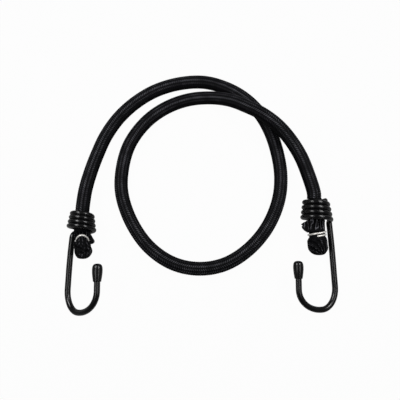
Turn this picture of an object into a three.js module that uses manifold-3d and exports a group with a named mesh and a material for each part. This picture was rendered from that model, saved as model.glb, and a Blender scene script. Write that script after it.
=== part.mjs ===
// Bungee cord lying in one loop: rubber strands in a braided sleeve, with both ends folded back,
// crimped by a wire ring and held in the coiled end of a bent wire hook.
// Millimetres, +Z up. The origin is on the floor, in the middle of the box round the two hooks.
import * as THREE from "three";
import { mergeVertices } from "three/addons/utils/BufferGeometryUtils.js";
import Module from "manifold-3d";

const wasm = await Module();
wasm.setup();

// Cord: a round sleeve, flat where a side of its section lies on the floor.
const CORD_DIAMETER = 10;
const SLEEVE_WALL = 0.6;
const SLEEVE_SIDES = 12;
const CORD_STEPS = 46;
const SEAT_LENGTH = 2;

// Rubber strands: three in the middle and nine round them.
const STRAND_GAP = 0.25;
const CORE_CLEARANCE = 0.28;
const INNER_STRANDS = 3;
const OUTER_STRANDS = 9;
const STRAND_SIDES = 5;

// Hook wire: bare in the coil, with a plastic coat that thickens down the shank.
const LEFT_COIL_WIRE = 2.8;
const RIGHT_COIL_WIRE = 3.1;
const HOOK_WIRE = 4;
const WIRE_SIDES = 8;
const COAT_START = 6;
const COAT_LENGTH = 22;

// Coil: turns that widen towards the hook, counted in degrees from the shank.
const LEFT_CLEARANCE = 0.6;
const RIGHT_CLEARANCE = 0.9;
const TURN_GAP = 0.46;
const COIL_GROWTH = 0.55;
const COIL_FIRST_ANGLE = 28;
const COIL_LAST_ANGLE = 1430;
const COIL_STEP = 15;
const CORNER_LENGTH = 5;

// Hook: a straight shank set out from the coil, a bend tighter at the shank and a short tip leg.
const SHANK_STEP = 1.3;
const THROAT = 26.7;
const BEND_SKEW = 3.1;
const LEFT_SHANK = 41.6;
const RIGHT_SHANK = 49.6;
const LEFT_SHANK_LEAN = 0.4;
const RIGHT_SHANK_LEAN = 2.75;
const TIP_LEAN = 3;
const LEFT_TIP = 18.5;
const RIGHT_TIP = 19.9;
const BEND_STEPS = 16;

// Rubber cap on the tip.
const CAP_LENGTH = 12.4;
const CAP_WALL = 0.6;
const CAP_SWELL = 0.68;
const CAP_DOME = 2.2;
const CAP_FIT = 0.2;

// Folded cord ends, each a neck in the coil, a waist under the ring and a round fold.
const COIL_FIT = 0.36;
const NECK_WIDTH = 11.4;
const WAIST_WIDTH = 9.2;
const WAIST_DEPTH = 12;
const LEFT_WAIST = 7;
const RIGHT_WAIST = 12;
const LEFT_WAIST_TILT = 36;
const RIGHT_WAIST_TILT = 0;
const LEFT_FOLD_WIDTH = 11.8;
const RIGHT_FOLD_WIDTH = 14;
const FOLD_DEPTH = 14;
const LEFT_FOLD_LENGTH = 12.6;
const RIGHT_FOLD_LENGTH = 14.6;
const FOLD_SIDES = 16;
const FACE_GAP = 0.3;

// Sideways lie of each folded end: where the cord comes in, at the neck, the waist and the fold.
const LEFT_SWAY = { cord: 0, neck: 0.8, waist: 0.7, fold: 2.6 };
const RIGHT_SWAY = { cord: -1.5, neck: -0.4, waist: -0.45, fold: -0.3 };

// Cut tails of the folded cord: a spread fan on the right, a round stub on the left.
// The edge of the fan is in parts of its reach and its length.
const FAN_SIDE = 5.3;
const FAN_REACH = 12;
const FAN_FOOT = 8.6;
const FAN_LENGTH = 7.8;
const FAN_THICKNESS = 4.4;
const FAN_RISE = 3.4;
const FAN_EDGE = [[0.86, 0.27], [1, 0.41], [0.93, 0.56], [0.97, 0.7]];
const STUB_DIAMETER = 3.8;
const STUB_LENGTH = 3;
const STUB_REACH = 5.2;
const STUB_DROP = 4;
const STUB_STATION = 2.6;
const STUB_LEAN = 55;

// Crimp ring: a round wire whose ends pass each other.
const RING_WIRE = 1.15;
const RING_FIT = 0.3;
const RING_PASS = 2.05;
const RING_TURN = 455;

// Middle of the box round the two hooks, in the plan that the stations and the route are drawn on.
const MIDDLE = [-0.41, 1.02];

// How each end lies: where its coil ends, its heading off -Y, its dip and the turn of its hook.
const LEFT_STATION = [-87.24, 17.6];
const LEFT_HEADING = -1.6;
const LEFT_DIP = 3.4;
const LEFT_TURN = 215;
const RIGHT_STATION = [83.19, 27.2];
const RIGHT_HEADING = 1;
const RIGHT_DIP = 6;
const RIGHT_TURN = -20;

// Route of the cord from the left hook, round the loop and over itself, to the right hook:
// X, Y and the height of the cord's underside over the floor.
const ROUTE = [
  [-85.5, 48, 6.3],
  [-82.5, 62, 5.4],
  [-78.5, 76, 4],
  [-73, 91, 2.4],
  [-64, 106, 1.1],
  [-51.5, 119, 0.2],
  [-36, 129, 0],
  [-17, 135, 0],
  [2, 136, 0],
  [18, 131.5, 0],
  [32, 123.5, 0],
  [43.5, 112, 0],
  [51.5, 98, 0],
  [57, 80.5, 0],
  [59.5, 60, 0],
  [57, 41, 0],
  [48, 21, 0],
  [33.5, 4.5, 0],
  [16, -6, 0],
  [-3, -9, 0],
  [-21.5, -5, 0],
  [-39, 7, 0],
  [-52.5, 26, 0],
  [-60, 47.5, 0],
  [-60, 66.5, 0],
  [-55, 85.5, 0],
  [-43, 103, 0],
  [-28, 114.5, 0.1],
  [-11, 121, 0.5],
  [6.5, 122, 2.2],
  [21.5, 118.5, 5.8],
  [34, 112, 9.2],
  [45, 105.5, 10.9],
  [56, 96.5, 11.3],
  [65, 85.5, 11.1],
  [72.5, 72.5, 10.6],
  [77.5, 59.3, 9.7],
];

const rad = THREE.MathUtils.degToRad;
const vec = (x, y, z) => new THREE.Vector3(x, y, z);

const cordRadius = CORD_DIAMETER / 2;
const hookWireRadius = HOOK_WIRE / 2;
const coilTurns = (COIL_LAST_ANGLE - COIL_FIRST_ANGLE) / 360;
const bendRadius = (THROAT + HOOK_WIRE) / 2;
const nearRadius = bendRadius - BEND_SKEW;
const farRadius = bendRadius + BEND_SKEW;

// Sizes of a coil that follow from its wire and its clearance round the cord.
function coilOf(coilWire, clearance) {
  const wireRadius = coilWire / 2;
  const pitch = coilWire + TURN_GAP;
  const length = pitch * coilTurns;
  const narrow = cordRadius + clearance + wireRadius;
  const wide = narrow + COIL_GROWTH * coilTurns;
  const neckTop = -length - wireRadius - FACE_GAP;
  return { coilWire, wireRadius, pitch, length, narrow, wide, neckTop };
}

const finishes = {
  sleeve: new THREE.MeshStandardMaterial({ color: 0x1d1d20, roughness: 0.8, metalness: 0 }),
  rubber: new THREE.MeshStandardMaterial({ color: 0xcdb98a, roughness: 0.7, metalness: 0 }),
  wire: new THREE.MeshStandardMaterial({ color: 0x131314, roughness: 0.25, metalness: 0 }),
  cap: new THREE.MeshStandardMaterial({ color: 0x18181a, roughness: 0.5, metalness: 0 }),
  steel: new THREE.MeshStandardMaterial({ color: 0xcfcdc8, roughness: 0.25, metalness: 1 }),
};

function named(name, geometry, material) {
  const mesh = new THREE.Mesh(geometry, material);
  mesh.name = name;
  return mesh;
}

// Joins rings of points, all running the same way round, into one closed surface with flat ends.
function loft(rings) {
  const sides = rings[0].length;
  const last = (rings.length - 1) * sides;
  const index = [];
  for (let i = 0; i < last; i += sides) {
    for (let j = 0; j < sides; j += 1) {
      const k = (j + 1) % sides;
      index.push(i + j, i + k, i + sides + k);
      index.push(i + j, i + sides + k, i + sides + j);
    }
  }
  for (let j = 1; j < sides - 1; j += 1) {
    index.push(0, j + 1, j);
    index.push(last, last + j, last + j + 1);
  }
  const geometry = new THREE.BufferGeometry().setFromPoints(rings.flat());
  geometry.setIndex(index);
  geometry.computeVertexNormals();
  return geometry;
}

// A round wire of changing radius along points, its section kept from twisting.
// The first ring has a flat side square to the given direction.
function wire(points, radii, sides, across) {
  const normal = across.clone();
  const rings = points.map((point, i) => {
    const before = points[Math.max(i - 1, 0)];
    const after = points[Math.min(i + 1, points.length - 1)];
    const along = after.clone().sub(before).normalize();
    normal.addScaledVector(along, -normal.dot(along)).normalize();
    const other = along.clone().cross(normal);
    return Array.from({ length: sides }, (_, j) => {
      const angle = ((j + 0.5) * 2 * Math.PI) / sides;
      return point
        .clone()
        .addScaledVector(normal, radii[i] * Math.cos(angle))
        .addScaledVector(other, radii[i] * Math.sin(angle));
    });
  });
  return loft(rings);
}

// Least gap of a round tube to itself, between points further apart along it than the reach.
function leastGap(points, radii, reach) {
  const along = [0];
  points.slice(1).forEach((p, i) => along.push(along[i] + p.distanceTo(points[i])));
  let least = Infinity;
  points.forEach((p, i) => {
    for (let j = i + 1; j < points.length; j += 1) {
      if (along[j] - along[i] > reach) {
        least = Math.min(least, p.distanceTo(points[j]) - radii[i] - radii[j]);
      }
    }
  });
  return least;
}

function asSolid(geometry) {
  const bare = geometry.clone();
  bare.deleteAttribute("normal");
  bare.deleteAttribute("uv");
  const merged = mergeVertices(bare, 1e-4);
  const vertProperties = new Float32Array(merged.attributes.position.array);
  const triVerts = new Uint32Array(merged.index.array);
  return new wasm.Manifold(new wasm.Mesh({ numProp: 3, vertProperties, triVerts }));
}

function join(first, second) {
  const mesh = asSolid(first).add(asSolid(second)).getMesh();
  const geometry = new THREE.BufferGeometry();
  geometry.setAttribute("position", new THREE.BufferAttribute(mesh.vertProperties, 3));
  geometry.setIndex(new THREE.BufferAttribute(mesh.triVerts, 1));
  geometry.computeVertexNormals();
  return geometry;
}

// Place on a hook's plane, across from its leaning shank and down it from the shank's foot.
function hookPlace({ coil, shankLean }, across, down) {
  const cos = Math.cos(rad(shankLean));
  const sin = Math.sin(rad(shankLean));
  const x = coil.wide + SHANK_STEP - across * cos + down * sin;
  return vec(x, 0, CORNER_LENGTH + across * sin + down * cos);
}

// Place on the tip leg, the given length up from the end of the bend.
function tipPlace(end, length) {
  const lean = rad(TIP_LEAN);
  const turn = Math.atan2(farRadius * Math.sin(lean), bendRadius * Math.cos(lean));
  const across = nearRadius + farRadius * Math.cos(lean) - length * Math.sin(turn);
  const down = end.shank - CORNER_LENGTH - bendRadius * Math.sin(lean) - length * Math.cos(turn);
  return hookPlace(end, across, down);
}

// Middle of a hook's wire in its own frame, from the tip leg to the free end of the coil:
// X runs from the coil's axis to the shank and Z down the shank.
function hookPath(end, angleStep) {
  const { coil } = end;
  const points = [];
  const radii = [];
  const add = (point, radius) => {
    points.push(point);
    radii.push(radius);
  };
  for (let i = 0; i < 3; i += 1) {
    add(tipPlace(end, (end.tip - CAP_DOME) * (1 - i / 3)), hookWireRadius);
  }
  const straight = end.shank - CORNER_LENGTH;
  for (let i = 0; i <= BEND_STEPS; i += 1) {
    const angle = (Math.PI + rad(TIP_LEAN)) * (1 - i / BEND_STEPS);
    const radius = angle > Math.PI / 2 ? farRadius : nearRadius;
    const across = nearRadius - radius * Math.cos(angle);
    add(hookPlace(end, across, straight + bendRadius * Math.sin(angle)), hookWireRadius);
  }
  for (let i = 0; i <= 4; i += 1) {
    const down = COAT_START - CORNER_LENGTH + COAT_LENGTH * (1 - i / 4);
    const radius = THREE.MathUtils.lerp(hookWireRadius, coil.wireRadius, i / 4);
    add(hookPlace(end, 0, down), radius);
  }
  const turnPoint = (degrees) => {
    const turns = (degrees - COIL_FIRST_ANGLE) / 360;
    const radius = coil.wide - COIL_GROWTH * turns;
    const angle = rad(degrees);
    return vec(radius * Math.cos(angle), radius * Math.sin(angle), -coil.pitch * turns);
  };
  const direction = (degrees) => turnPoint(degrees + 0.5).sub(turnPoint(degrees - 0.5)).normalize();
  const foot = hookPlace(end, 0, 0);
  const head = turnPoint(COIL_FIRST_ANGLE);
  const pull = CORNER_LENGTH * 0.6;
  const corner = new THREE.CubicBezierCurve3(
    foot,
    hookPlace(end, 0, -pull),
    head.clone().addScaledVector(direction(COIL_FIRST_ANGLE), -pull),
    head,
  );
  corner.getPoints(6).slice(0, 6).forEach((point) => add(point, coil.wireRadius));
  const count = Math.round((COIL_LAST_ANGLE - COIL_FIRST_ANGLE) / angleStep);
  for (let i = 0; i <= count; i += 1) {
    const degrees = THREE.MathUtils.lerp(COIL_FIRST_ANGLE, COIL_LAST_ANGLE, i / count);
    add(turnPoint(degrees), coil.wireRadius);
  }
  const straightEnd = direction(COIL_LAST_ANGLE).multiplyScalar(coil.coilWire);
  add(turnPoint(COIL_LAST_ANGLE).add(straightEnd), coil.wireRadius);
  return { points, radii };
}

// Egg-shaped cap with a blind bore, its rim at the origin and its dome up +Z.
function capGeometry() {
  const bore = hookWireRadius + CAP_FIT;
  const rim = bore + CAP_WALL;
  const widest = rim + CAP_SWELL;
  const side = new THREE.CubicBezierCurve(
    new THREE.Vector2(rim, 0),
    new THREE.Vector2(rim + CAP_SWELL * 0.4, CAP_LENGTH * 0.2),
    new THREE.Vector2(widest, CAP_LENGTH * 0.42),
    new THREE.Vector2(widest, CAP_LENGTH * 0.64),
  );
  const dome = new THREE.CubicBezierCurve(
    new THREE.Vector2(widest, CAP_LENGTH * 0.64),
    new THREE.Vector2(widest, CAP_LENGTH * 0.9),
    new THREE.Vector2(widest * 0.55, CAP_LENGTH),
    new THREE.Vector2(0, CAP_LENGTH),
  );
  const depth = CAP_LENGTH - CAP_DOME + FACE_GAP;
  const profile = [
    new THREE.Vector2(0, depth),
    new THREE.Vector2(bore, depth),
    new THREE.Vector2(bore, 0),
    ...side.getPoints(5),
    ...dome.getPoints(6).slice(1),
  ];
  profile[profile.length - 1].x = 0;
  return new THREE.LatheGeometry(profile, 16).rotateX(Math.PI / 2);
}

// One oval section of a folded end: its place along Z, sideways lie, half width, half depth,
// tilt and shift square to its tilted plane.
function oval({ along, sway, halfWidth, halfDepth, tilt, shift = 0 }, sides) {
  const cos = Math.cos(rad(tilt));
  const sin = Math.sin(rad(tilt));
  return Array.from({ length: sides }, (_, j) => {
    const angle = (j * 2 * Math.PI) / sides;
    const depth = halfDepth * Math.sin(angle);
    const x = sway + halfWidth * Math.cos(angle);
    return vec(x, depth * cos + shift * sin, along - depth * sin + shift * cos);
  });
}

function foldGeometry(end) {
  const { coil, sway } = end;
  const { wireRadius, length, neckTop } = coil;
  const gripRadius = coil.narrow - wireRadius - COIL_FIT;
  const middleRadius = gripRadius + (COIL_GROWTH * coilTurns) / 2;
  const round = (along, radius, lie) => {
    return { along, sway: lie, halfWidth: radius, halfDepth: radius, tilt: 0 };
  };
  const waist = {
    along: end.waist,
    sway: sway.waist,
    halfWidth: WAIST_WIDTH / 2,
    halfDepth: WAIST_DEPTH / 2,
    tilt: end.waistTilt,
  };
  const neck = [
    round(neckTop, cordRadius, sway.cord),
    round(-length - wireRadius, cordRadius, sway.cord),
    round(-length, gripRadius, 0),
    round(-length / 2, middleRadius, 0),
    round(-length / 5, middleRadius, sway.neck / 3),
    { ...round(wireRadius, NECK_WIDTH / 2, sway.neck), tilt: end.waistTilt / 3 },
  ];
  const band = (RING_PASS + RING_WIRE) / 2 + RING_FIT;
  const waists = [
    { ...waist, shift: -band },
    { ...waist, shift: band },
  ];
  const widest = end.waist + end.foldLength * 0.5;
  const bulb = [];
  for (let i = 1; i <= 4; i += 1) {
    const part = i / 4;
    const ease = Math.sin((part * Math.PI) / 2);
    bulb.push({
      along: THREE.MathUtils.lerp(end.waist, widest, part),
      sway: THREE.MathUtils.lerp(sway.waist, sway.fold, part),
      shift: band * (1 - part),
      halfWidth: THREE.MathUtils.lerp(WAIST_WIDTH, end.foldWidth, ease) / 2,
      halfDepth: THREE.MathUtils.lerp(WAIST_DEPTH, FOLD_DEPTH, ease) / 2,
      tilt: end.waistTilt * (1 - part),
    });
  }
  for (let i = 1; i <= 5; i += 1) {
    const angle = (i * Math.PI) / 2 / 5.3;
    bulb.push({
      along: widest + (end.foldLength * 0.5 * Math.sin(angle)) / Math.sin((5 * Math.PI) / 2 / 5.3),
      sway: sway.fold,
      halfWidth: (end.foldWidth / 2) * Math.cos(angle),
      halfDepth: (FOLD_DEPTH / 2) * Math.cos(angle),
      tilt: 0,
    });
  }
  const rings = [...neck, ...waists, ...bulb].map((section) => oval(section, FOLD_SIDES));
  return join(loft(rings), end.tail());
}

// Fan of the cut tail on the right end, in front of the neck and above its ring.
function fanGeometry() {
  const foot = RIGHT_WAIST - RING_PASS / 2 - RING_WIRE / 2 - RING_FIT - 1;
  const top = foot - FAN_LENGTH;
  const outline = new THREE.Shape();
  outline.moveTo(FAN_SIDE - 0.4, foot);
  outline.lineTo(FAN_SIDE, top + 1.2);
  outline.quadraticCurveTo(FAN_SIDE - 0.4, top, FAN_SIDE - 2, top);
  outline.lineTo(-FAN_SIDE - 1, top);
  FAN_EDGE.forEach(([out, down]) => outline.lineTo(-FAN_REACH * out, top + FAN_LENGTH * down));
  outline.lineTo(-FAN_FOOT, foot);
  const bevel = FAN_THICKNESS * 0.25;
  const plate = new THREE.ExtrudeGeometry(outline, {
    depth: FAN_THICKNESS - 2 * bevel,
    bevelSize: bevel * 0.8,
    bevelThickness: bevel,
    bevelOffset: -bevel * 0.8,
    bevelSegments: 2,
    curveSegments: 4,
  });
  plate.rotateX(Math.PI / 2);
  return plate.translate(0, FAN_RISE + FAN_THICKNESS / 2 - bevel, 0);
}

// Round stub of the cut tail on the left end, behind the neck and above its ring.
function stubGeometry() {
  const stub = new THREE.CapsuleGeometry(STUB_DIAMETER / 2, STUB_LENGTH, 5, 12);
  stub.translate(0, STUB_LENGTH / 2, 0);
  stub.rotateZ(-Math.PI / 2);
  stub.rotateY(rad(-STUB_LEAN));
  return stub.translate(STUB_REACH, -STUB_DROP, STUB_STATION);
}

// Wire ring round the waist, seated on the waist's oval with its ends side by side.
function ringGeometry(end) {
  const clear = RING_FIT + RING_WIRE / 2;
  const points = [];
  const count = 34;
  for (let i = 0; i <= count; i += 1) {
    const part = i / count;
    const angle = rad(end.ringStart - RING_TURN * part);
    const x = end.sway.waist + (WAIST_WIDTH / 2 + clear) * Math.cos(angle);
    const depth = (WAIST_DEPTH / 2 + clear) * Math.sin(angle);
    const shift = RING_PASS * (0.5 - part);
    const tilt = rad(end.waistTilt);
    const y = depth * Math.cos(tilt) + shift * Math.sin(tilt);
    const z = end.waist - depth * Math.sin(tilt) + shift * Math.cos(tilt);
    points.push(vec(x, y, z));
  }
  const radii = points.map(() => RING_WIRE / 2);
  return { points, radii };
}

const ends = {
  left: {
    station: LEFT_STATION,
    heading: LEFT_HEADING,
    dip: LEFT_DIP,
    turn: LEFT_TURN,
    coil: coilOf(LEFT_COIL_WIRE, LEFT_CLEARANCE),
    shank: LEFT_SHANK,
    shankLean: LEFT_SHANK_LEAN,
    tip: LEFT_TIP,
    sway: LEFT_SWAY,
    waist: LEFT_WAIST,
    waistTilt: LEFT_WAIST_TILT,
    foldWidth: LEFT_FOLD_WIDTH,
    foldLength: LEFT_FOLD_LENGTH,
    ringStart: -40,
    tail: stubGeometry,
  },
  right: {
    station: RIGHT_STATION,
    heading: RIGHT_HEADING,
    dip: RIGHT_DIP,
    turn: RIGHT_TURN,
    coil: coilOf(RIGHT_COIL_WIRE, RIGHT_CLEARANCE),
    shank: RIGHT_SHANK,
    shankLean: RIGHT_SHANK_LEAN,
    tip: RIGHT_TIP,
    sway: RIGHT_SWAY,
    waist: RIGHT_WAIST,
    waistTilt: RIGHT_WAIST_TILT,
    foldWidth: RIGHT_FOLD_WIDTH,
    foldLength: RIGHT_FOLD_LENGTH,
    ringStart: 85,
    tail: fanGeometry,
  },
};

// Places an end so that its hook's wire just meets the floor. In its frame X is to the right,
// Y up from the floor and Z along the cord towards the hook.
function endGroup(end) {
  const heading = rad(end.heading);
  const dip = rad(end.dip);
  const along = vec(
    Math.sin(heading) * Math.cos(dip),
    -Math.cos(heading) * Math.cos(dip),
    -Math.sin(dip),
  );
  const side = vec(0, 0, 1).cross(along).normalize();
  const rise = along.clone().cross(side);
  const group = new THREE.Group();
  group.setRotationFromMatrix(new THREE.Matrix4().makeBasis(side, rise, along));
  const hook = new THREE.Group();
  hook.rotation.z = rad(end.turn);
  group.add(hook);
  group.updateMatrixWorld(true);
  const { points, radii } = hookPath(end, COIL_STEP);
  const low = points.map((p, i) => p.clone().applyMatrix4(hook.matrixWorld).z - radii[i]);
  const [x, y] = end.station;
  group.position.set(x - MIDDLE[0], y - MIDDLE[1], -Math.min(...low));
  group.updateMatrixWorld(true);
  return { group, hook };
}

const bungee = new THREE.Group();
const seats = {};
for (const [side, end] of Object.entries(ends)) {
  const { group, hook } = endGroup(end);
  const path = hookPath(end, COIL_STEP);
  const fine = hookPath(end, 2);
  const gap = leastGap(fine.points, fine.radii, end.coil.wireRadius * 6);
  console.log(`least gap of the ${side} hook's wire to itself: ${gap.toFixed(2)} mm`);
  hook.add(
    named(
      `${side}_hook_wire`,
      wire(path.points, path.radii, WIRE_SIDES, vec(0, 1, 0)),
      finishes.wire,
    ),
  );
  const cap = named(`${side}_hook_cap`, capGeometry(), finishes.cap);
  const rim = tipPlace(end, end.tip - CAP_LENGTH);
  const dome = tipPlace(end, end.tip);
  cap.position.copy(rim);
  cap.quaternion.setFromUnitVectors(vec(0, 0, 1), dome.sub(rim).normalize());
  hook.add(cap);
  const ring = ringGeometry(end);
  const ringGap = leastGap(ring.points, ring.radii, WAIST_WIDTH);
  console.log(`least gap of the ${side} ring's wire to itself: ${ringGap.toFixed(2)} mm`);
  group.add(
    named(`${side}_cord_end`, foldGeometry(end), finishes.sleeve),
    named(`${side}_crimp_ring`, wire(ring.points, ring.radii, 6, vec(0, 0, 1)), finishes.steel),
  );
  bungee.add(group);
  const seat = (back) => group.localToWorld(vec(end.sway.cord, 0, end.coil.neckTop - FACE_GAP - back));
  seats[side] = [seat(0), seat(SEAT_LENGTH)];
}

// The cord's middle line. Its section keeps the same side down, and no stretch dips below the floor.
class CordRoute extends THREE.CatmullRomCurve3 {
  getPoint(t, target) {
    const point = super.getPoint(t, target);
    point.z = Math.max(point.z, cordRadius);
    return point;
  }

  computeFrenetFrames(segments) {
    const parts = Array.from({ length: segments + 1 }, (_, i) => i / segments);
    const tangents = parts.map((u) => this.getTangentAt(u));
    const binormals = tangents.map((t) => vec(0, 0, -1).cross(t).negate().normalize());
    const normals = tangents.map((t, i) => binormals[i].clone().cross(t).normalize());
    return { tangents, normals, binormals };
  }
}

const route = new CordRoute([
  ...seats.left,
  ...ROUTE.map(([x, y, lift]) => vec(x - MIDDLE[0], y - MIDDLE[1], cordRadius + lift)),
  ...seats.right.reverse(),
]);
route.arcLengthDivisions = 1200;

function sectionAt(x, y, radius, sides, turn) {
  const corner = (j) => {
    const angle = turn + (j * 2 * Math.PI) / sides;
    return new THREE.Vector2(x + radius * Math.cos(angle), y + radius * Math.sin(angle));
  };
  return Array.from({ length: sides }, (_, j) => corner(j));
}

function alongRoute(shape) {
  return new THREE.ExtrudeGeometry(shape, { steps: CORD_STEPS, extrudePath: route });
}

const toCorner = 1 / Math.cos(Math.PI / SLEEVE_SIDES);
const halfSide = Math.PI / SLEEVE_SIDES;
const bore = cordRadius - SLEEVE_WALL;
const sleeve = new THREE.Shape(sectionAt(0, 0, cordRadius * toCorner, SLEEVE_SIDES, halfSide));
sleeve.holes.push(new THREE.Path(sectionAt(0, 0, bore * toCorner, SLEEVE_SIDES, halfSide)));
bungee.add(named("cord_sleeve", alongRoute(sleeve), finishes.sleeve));

const cordPoints = route.getSpacedPoints(600);
const cordGap = leastGap(cordPoints, cordPoints.map(() => cordRadius * toCorner), CORD_DIAMETER * 4);
console.log(`least gap of the cord to itself: ${cordGap.toFixed(2)} mm`);
console.log(`length of the free cord: ${route.getLength().toFixed(0)} mm`);

// The outer strands fill a ring against the sleeve and set the strands' size.
const outerSine = Math.sin(Math.PI / OUTER_STRANDS);
const reach = bore - CORE_CLEARANCE;
const strandRadius = (reach * outerSine - STRAND_GAP / 2) / (1 + outerSine);
const outerRing = reach - strandRadius;
const innerRing = (strandRadius + STRAND_GAP / 2) / Math.sin(Math.PI / INNER_STRANDS);
const strandRings = [
  { count: INNER_STRANDS, radius: innerRing, turn: Math.PI / OUTER_STRANDS },
  { count: OUTER_STRANDS, radius: outerRing, turn: 0 },
];
let strand = 0;
for (const { count, radius, turn } of strandRings) {
  for (let i = 0; i < count; i += 1) {
    const angle = turn + (i * 2 * Math.PI) / count;
    const x = radius * Math.cos(angle);
    const y = radius * Math.sin(angle);
    const shape = new THREE.Shape(sectionAt(x, y, strandRadius, STRAND_SIDES, angle));
    strand += 1;
    const name = `core_strand_${String(strand).padStart(2, "0")}`;
    bungee.add(named(name, alongRoute(shape), finishes.rubber));
  }
}

export default bungee;
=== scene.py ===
"""Looks of a bungee cord: a braided cord in one loop, two folded and crimped ends and two wire hooks.

Every shape is worked out in millimetres with numpy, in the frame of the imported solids, and put into its
mesh in metres. Each end has a frame of its own: X to the right, Y up from the floor and Z along the cord
towards the hook. The classes hold lengths in millimetres and angles in degrees.
"""

import logging
import math
from dataclasses import dataclass
from enum import Enum
from itertools import product

import bpy
import numpy as np
from mathutils import Matrix, Vector


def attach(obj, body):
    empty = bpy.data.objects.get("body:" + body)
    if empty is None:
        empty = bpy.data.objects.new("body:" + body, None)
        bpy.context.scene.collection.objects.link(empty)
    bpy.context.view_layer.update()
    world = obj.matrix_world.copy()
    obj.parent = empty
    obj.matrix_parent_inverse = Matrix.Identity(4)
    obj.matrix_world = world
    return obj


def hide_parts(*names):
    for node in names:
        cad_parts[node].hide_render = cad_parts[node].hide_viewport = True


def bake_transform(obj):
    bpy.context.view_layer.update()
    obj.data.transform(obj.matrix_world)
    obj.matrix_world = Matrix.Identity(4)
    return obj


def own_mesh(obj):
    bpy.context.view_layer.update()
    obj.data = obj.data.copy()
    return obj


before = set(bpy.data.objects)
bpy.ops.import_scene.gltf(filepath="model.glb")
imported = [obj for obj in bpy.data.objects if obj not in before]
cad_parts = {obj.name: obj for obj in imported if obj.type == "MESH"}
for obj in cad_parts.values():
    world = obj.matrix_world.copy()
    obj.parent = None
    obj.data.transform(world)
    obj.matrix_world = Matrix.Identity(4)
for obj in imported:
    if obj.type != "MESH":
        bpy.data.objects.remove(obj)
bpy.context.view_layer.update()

MM = 0.001
TURN = 2 * math.pi
UPWARDS = np.array([0.0, 0.0, 1.0])
# A wire's cut end, rounded over: how far on its rings stand and how wide they are, in radii of the wire.
ROUNDED_STEPS = np.array([0.16, 0.28, 0.34])
ROUNDED_SHARES = np.array([0.97, 0.88, 0.72])
# Angles past which an edge of a wire or of a cap is shaded sharp.
WIRE_SHARP = 50.0
CAP_SHARP = 60.0

Pair = tuple[float, float]
Triple = tuple[float, float, float]
log = logging.getLogger("bungee_cord")


class Side(Enum):
    """The two ends of the cord, as seen in the photograph."""

    LEFT = "left"
    RIGHT = "right"


class Slot(Enum):
    """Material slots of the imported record."""

    BRAID = "braid"
    CORE = "core"
    HOOK = "hook"
    CAP = "cap"
    RING = "ring"


def linear(code: str) -> tuple[float, float, float, float]:
    """Turns an sRGB hex value to a linear colour.

    Args:
        code: Colour such as "#1c1c1e".

    Returns:
        Red, green, blue and alpha, linear.
    """
    srgb = np.array([int(code[i : i + 2], 16) for i in (1, 3, 5)]) / 255
    value = np.where(srgb <= 0.04045, srgb / 12.92, ((srgb + 0.055) / 1.055) ** 2.4)
    return (float(value[0]), float(value[1]), float(value[2]), 1.0)


def feed(node: bpy.types.Node, inputs: dict) -> None:
    """Sets the sockets of a node.

    Args:
        node: Node that is fed.
        inputs: For each socket's name or number, a value, the socket that feeds it or a node whose first
            output does.
    """
    for key, value in inputs.items():
        source = value.outputs[0] if isinstance(value, bpy.types.Node) else value
        if isinstance(source, bpy.types.NodeSocket):
            node.id_data.links.new(source, node.inputs[key])
        else:
            node.inputs[key].default_value = source


def add(
    tree: bpy.types.NodeTree,
    kind: str,
    inputs: dict | None = None,
    stops: tuple[str, ...] = (),
    **settings: object,
) -> bpy.types.Node:
    """Adds a node, sets its own settings and feeds its sockets.

    Args:
        tree: Node tree that takes the node.
        kind: Blender's name for the node's type.
        inputs: What feeds each socket.
        stops: Colours of a ramp, evenly spaced.
        settings: The node's own settings by name.

    Returns:
        The new node.
    """
    node = tree.nodes.new(kind)
    for name, value in settings.items():
        setattr(node, name, value)
    if stops:
        marks = node.color_ramp.elements
        for place in np.linspace(0, 1, len(stops))[1:-1]:
            marks.new(place)
        for mark, code in zip(marks, stops):
            mark.color = linear(code)
    feed(node, inputs or {})
    return node


def begin(
    name: str,
) -> tuple[bpy.types.Material, bpy.types.NodeTree, bpy.types.Node, bpy.types.NodeSocket]:
    """Starts the material of a finish.

    Args:
        name: Common name of what the surface is made of.

    Returns:
        The material, its node tree, its shader and the socket of its Object coordinates.
    """
    made = bpy.data.materials.new(name)
    made.use_nodes = True
    tree = made.node_tree
    place = add(tree, "ShaderNodeTexCoord").outputs["Object"]
    return made, tree, tree.nodes["Principled BSDF"], place


def unit(rows: np.ndarray) -> np.ndarray:
    """Rows of vectors, each divided by its own length."""
    return rows / np.linalg.norm(rows, axis=-1, keepdims=True)


def ramp(value: np.ndarray, low: float, high: float) -> np.ndarray:
    """Smooth step: 0 below low, 1 above high and 3t^2 - 2t^3 between them."""
    t = np.clip((value - low) / (high - low), 0, 1)
    return t * t * (3 - 2 * t)


def hump(value: np.ndarray, middle: float, width: float) -> np.ndarray:
    """Bell of height 1: exp of minus the squared distance from the middle over the width."""
    return np.exp(-(((value - middle) / width) ** 2))


def spread(count: int) -> np.ndarray:
    """Angles of so many points, evenly round a circle."""
    return np.arange(count) * TURN / count


def travel(points: np.ndarray) -> np.ndarray:
    """Distance along a line of points, from 0 at its first."""
    return np.concatenate([[0], np.cumsum(np.linalg.norm(np.diff(points, axis=0), axis=1))])


def bezier(t: np.ndarray, *points: object) -> np.ndarray:
    """Cubic Bezier curve: its points weigh (1 - t)^3, 3(1 - t)^2 t, 3(1 - t)t^2 and t^3.

    Args:
        t: Places on the curve, from 0 to 1.
        points: Start, the two points that pull the curve, and end.

    Returns:
        One point for each place.
    """
    t = t[:, None]
    weights = np.hstack([(1 - t) ** 3, 3 * (1 - t) ** 2 * t, 3 * (1 - t) * t**2, t**3])
    return weights @ np.array(points)


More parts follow.
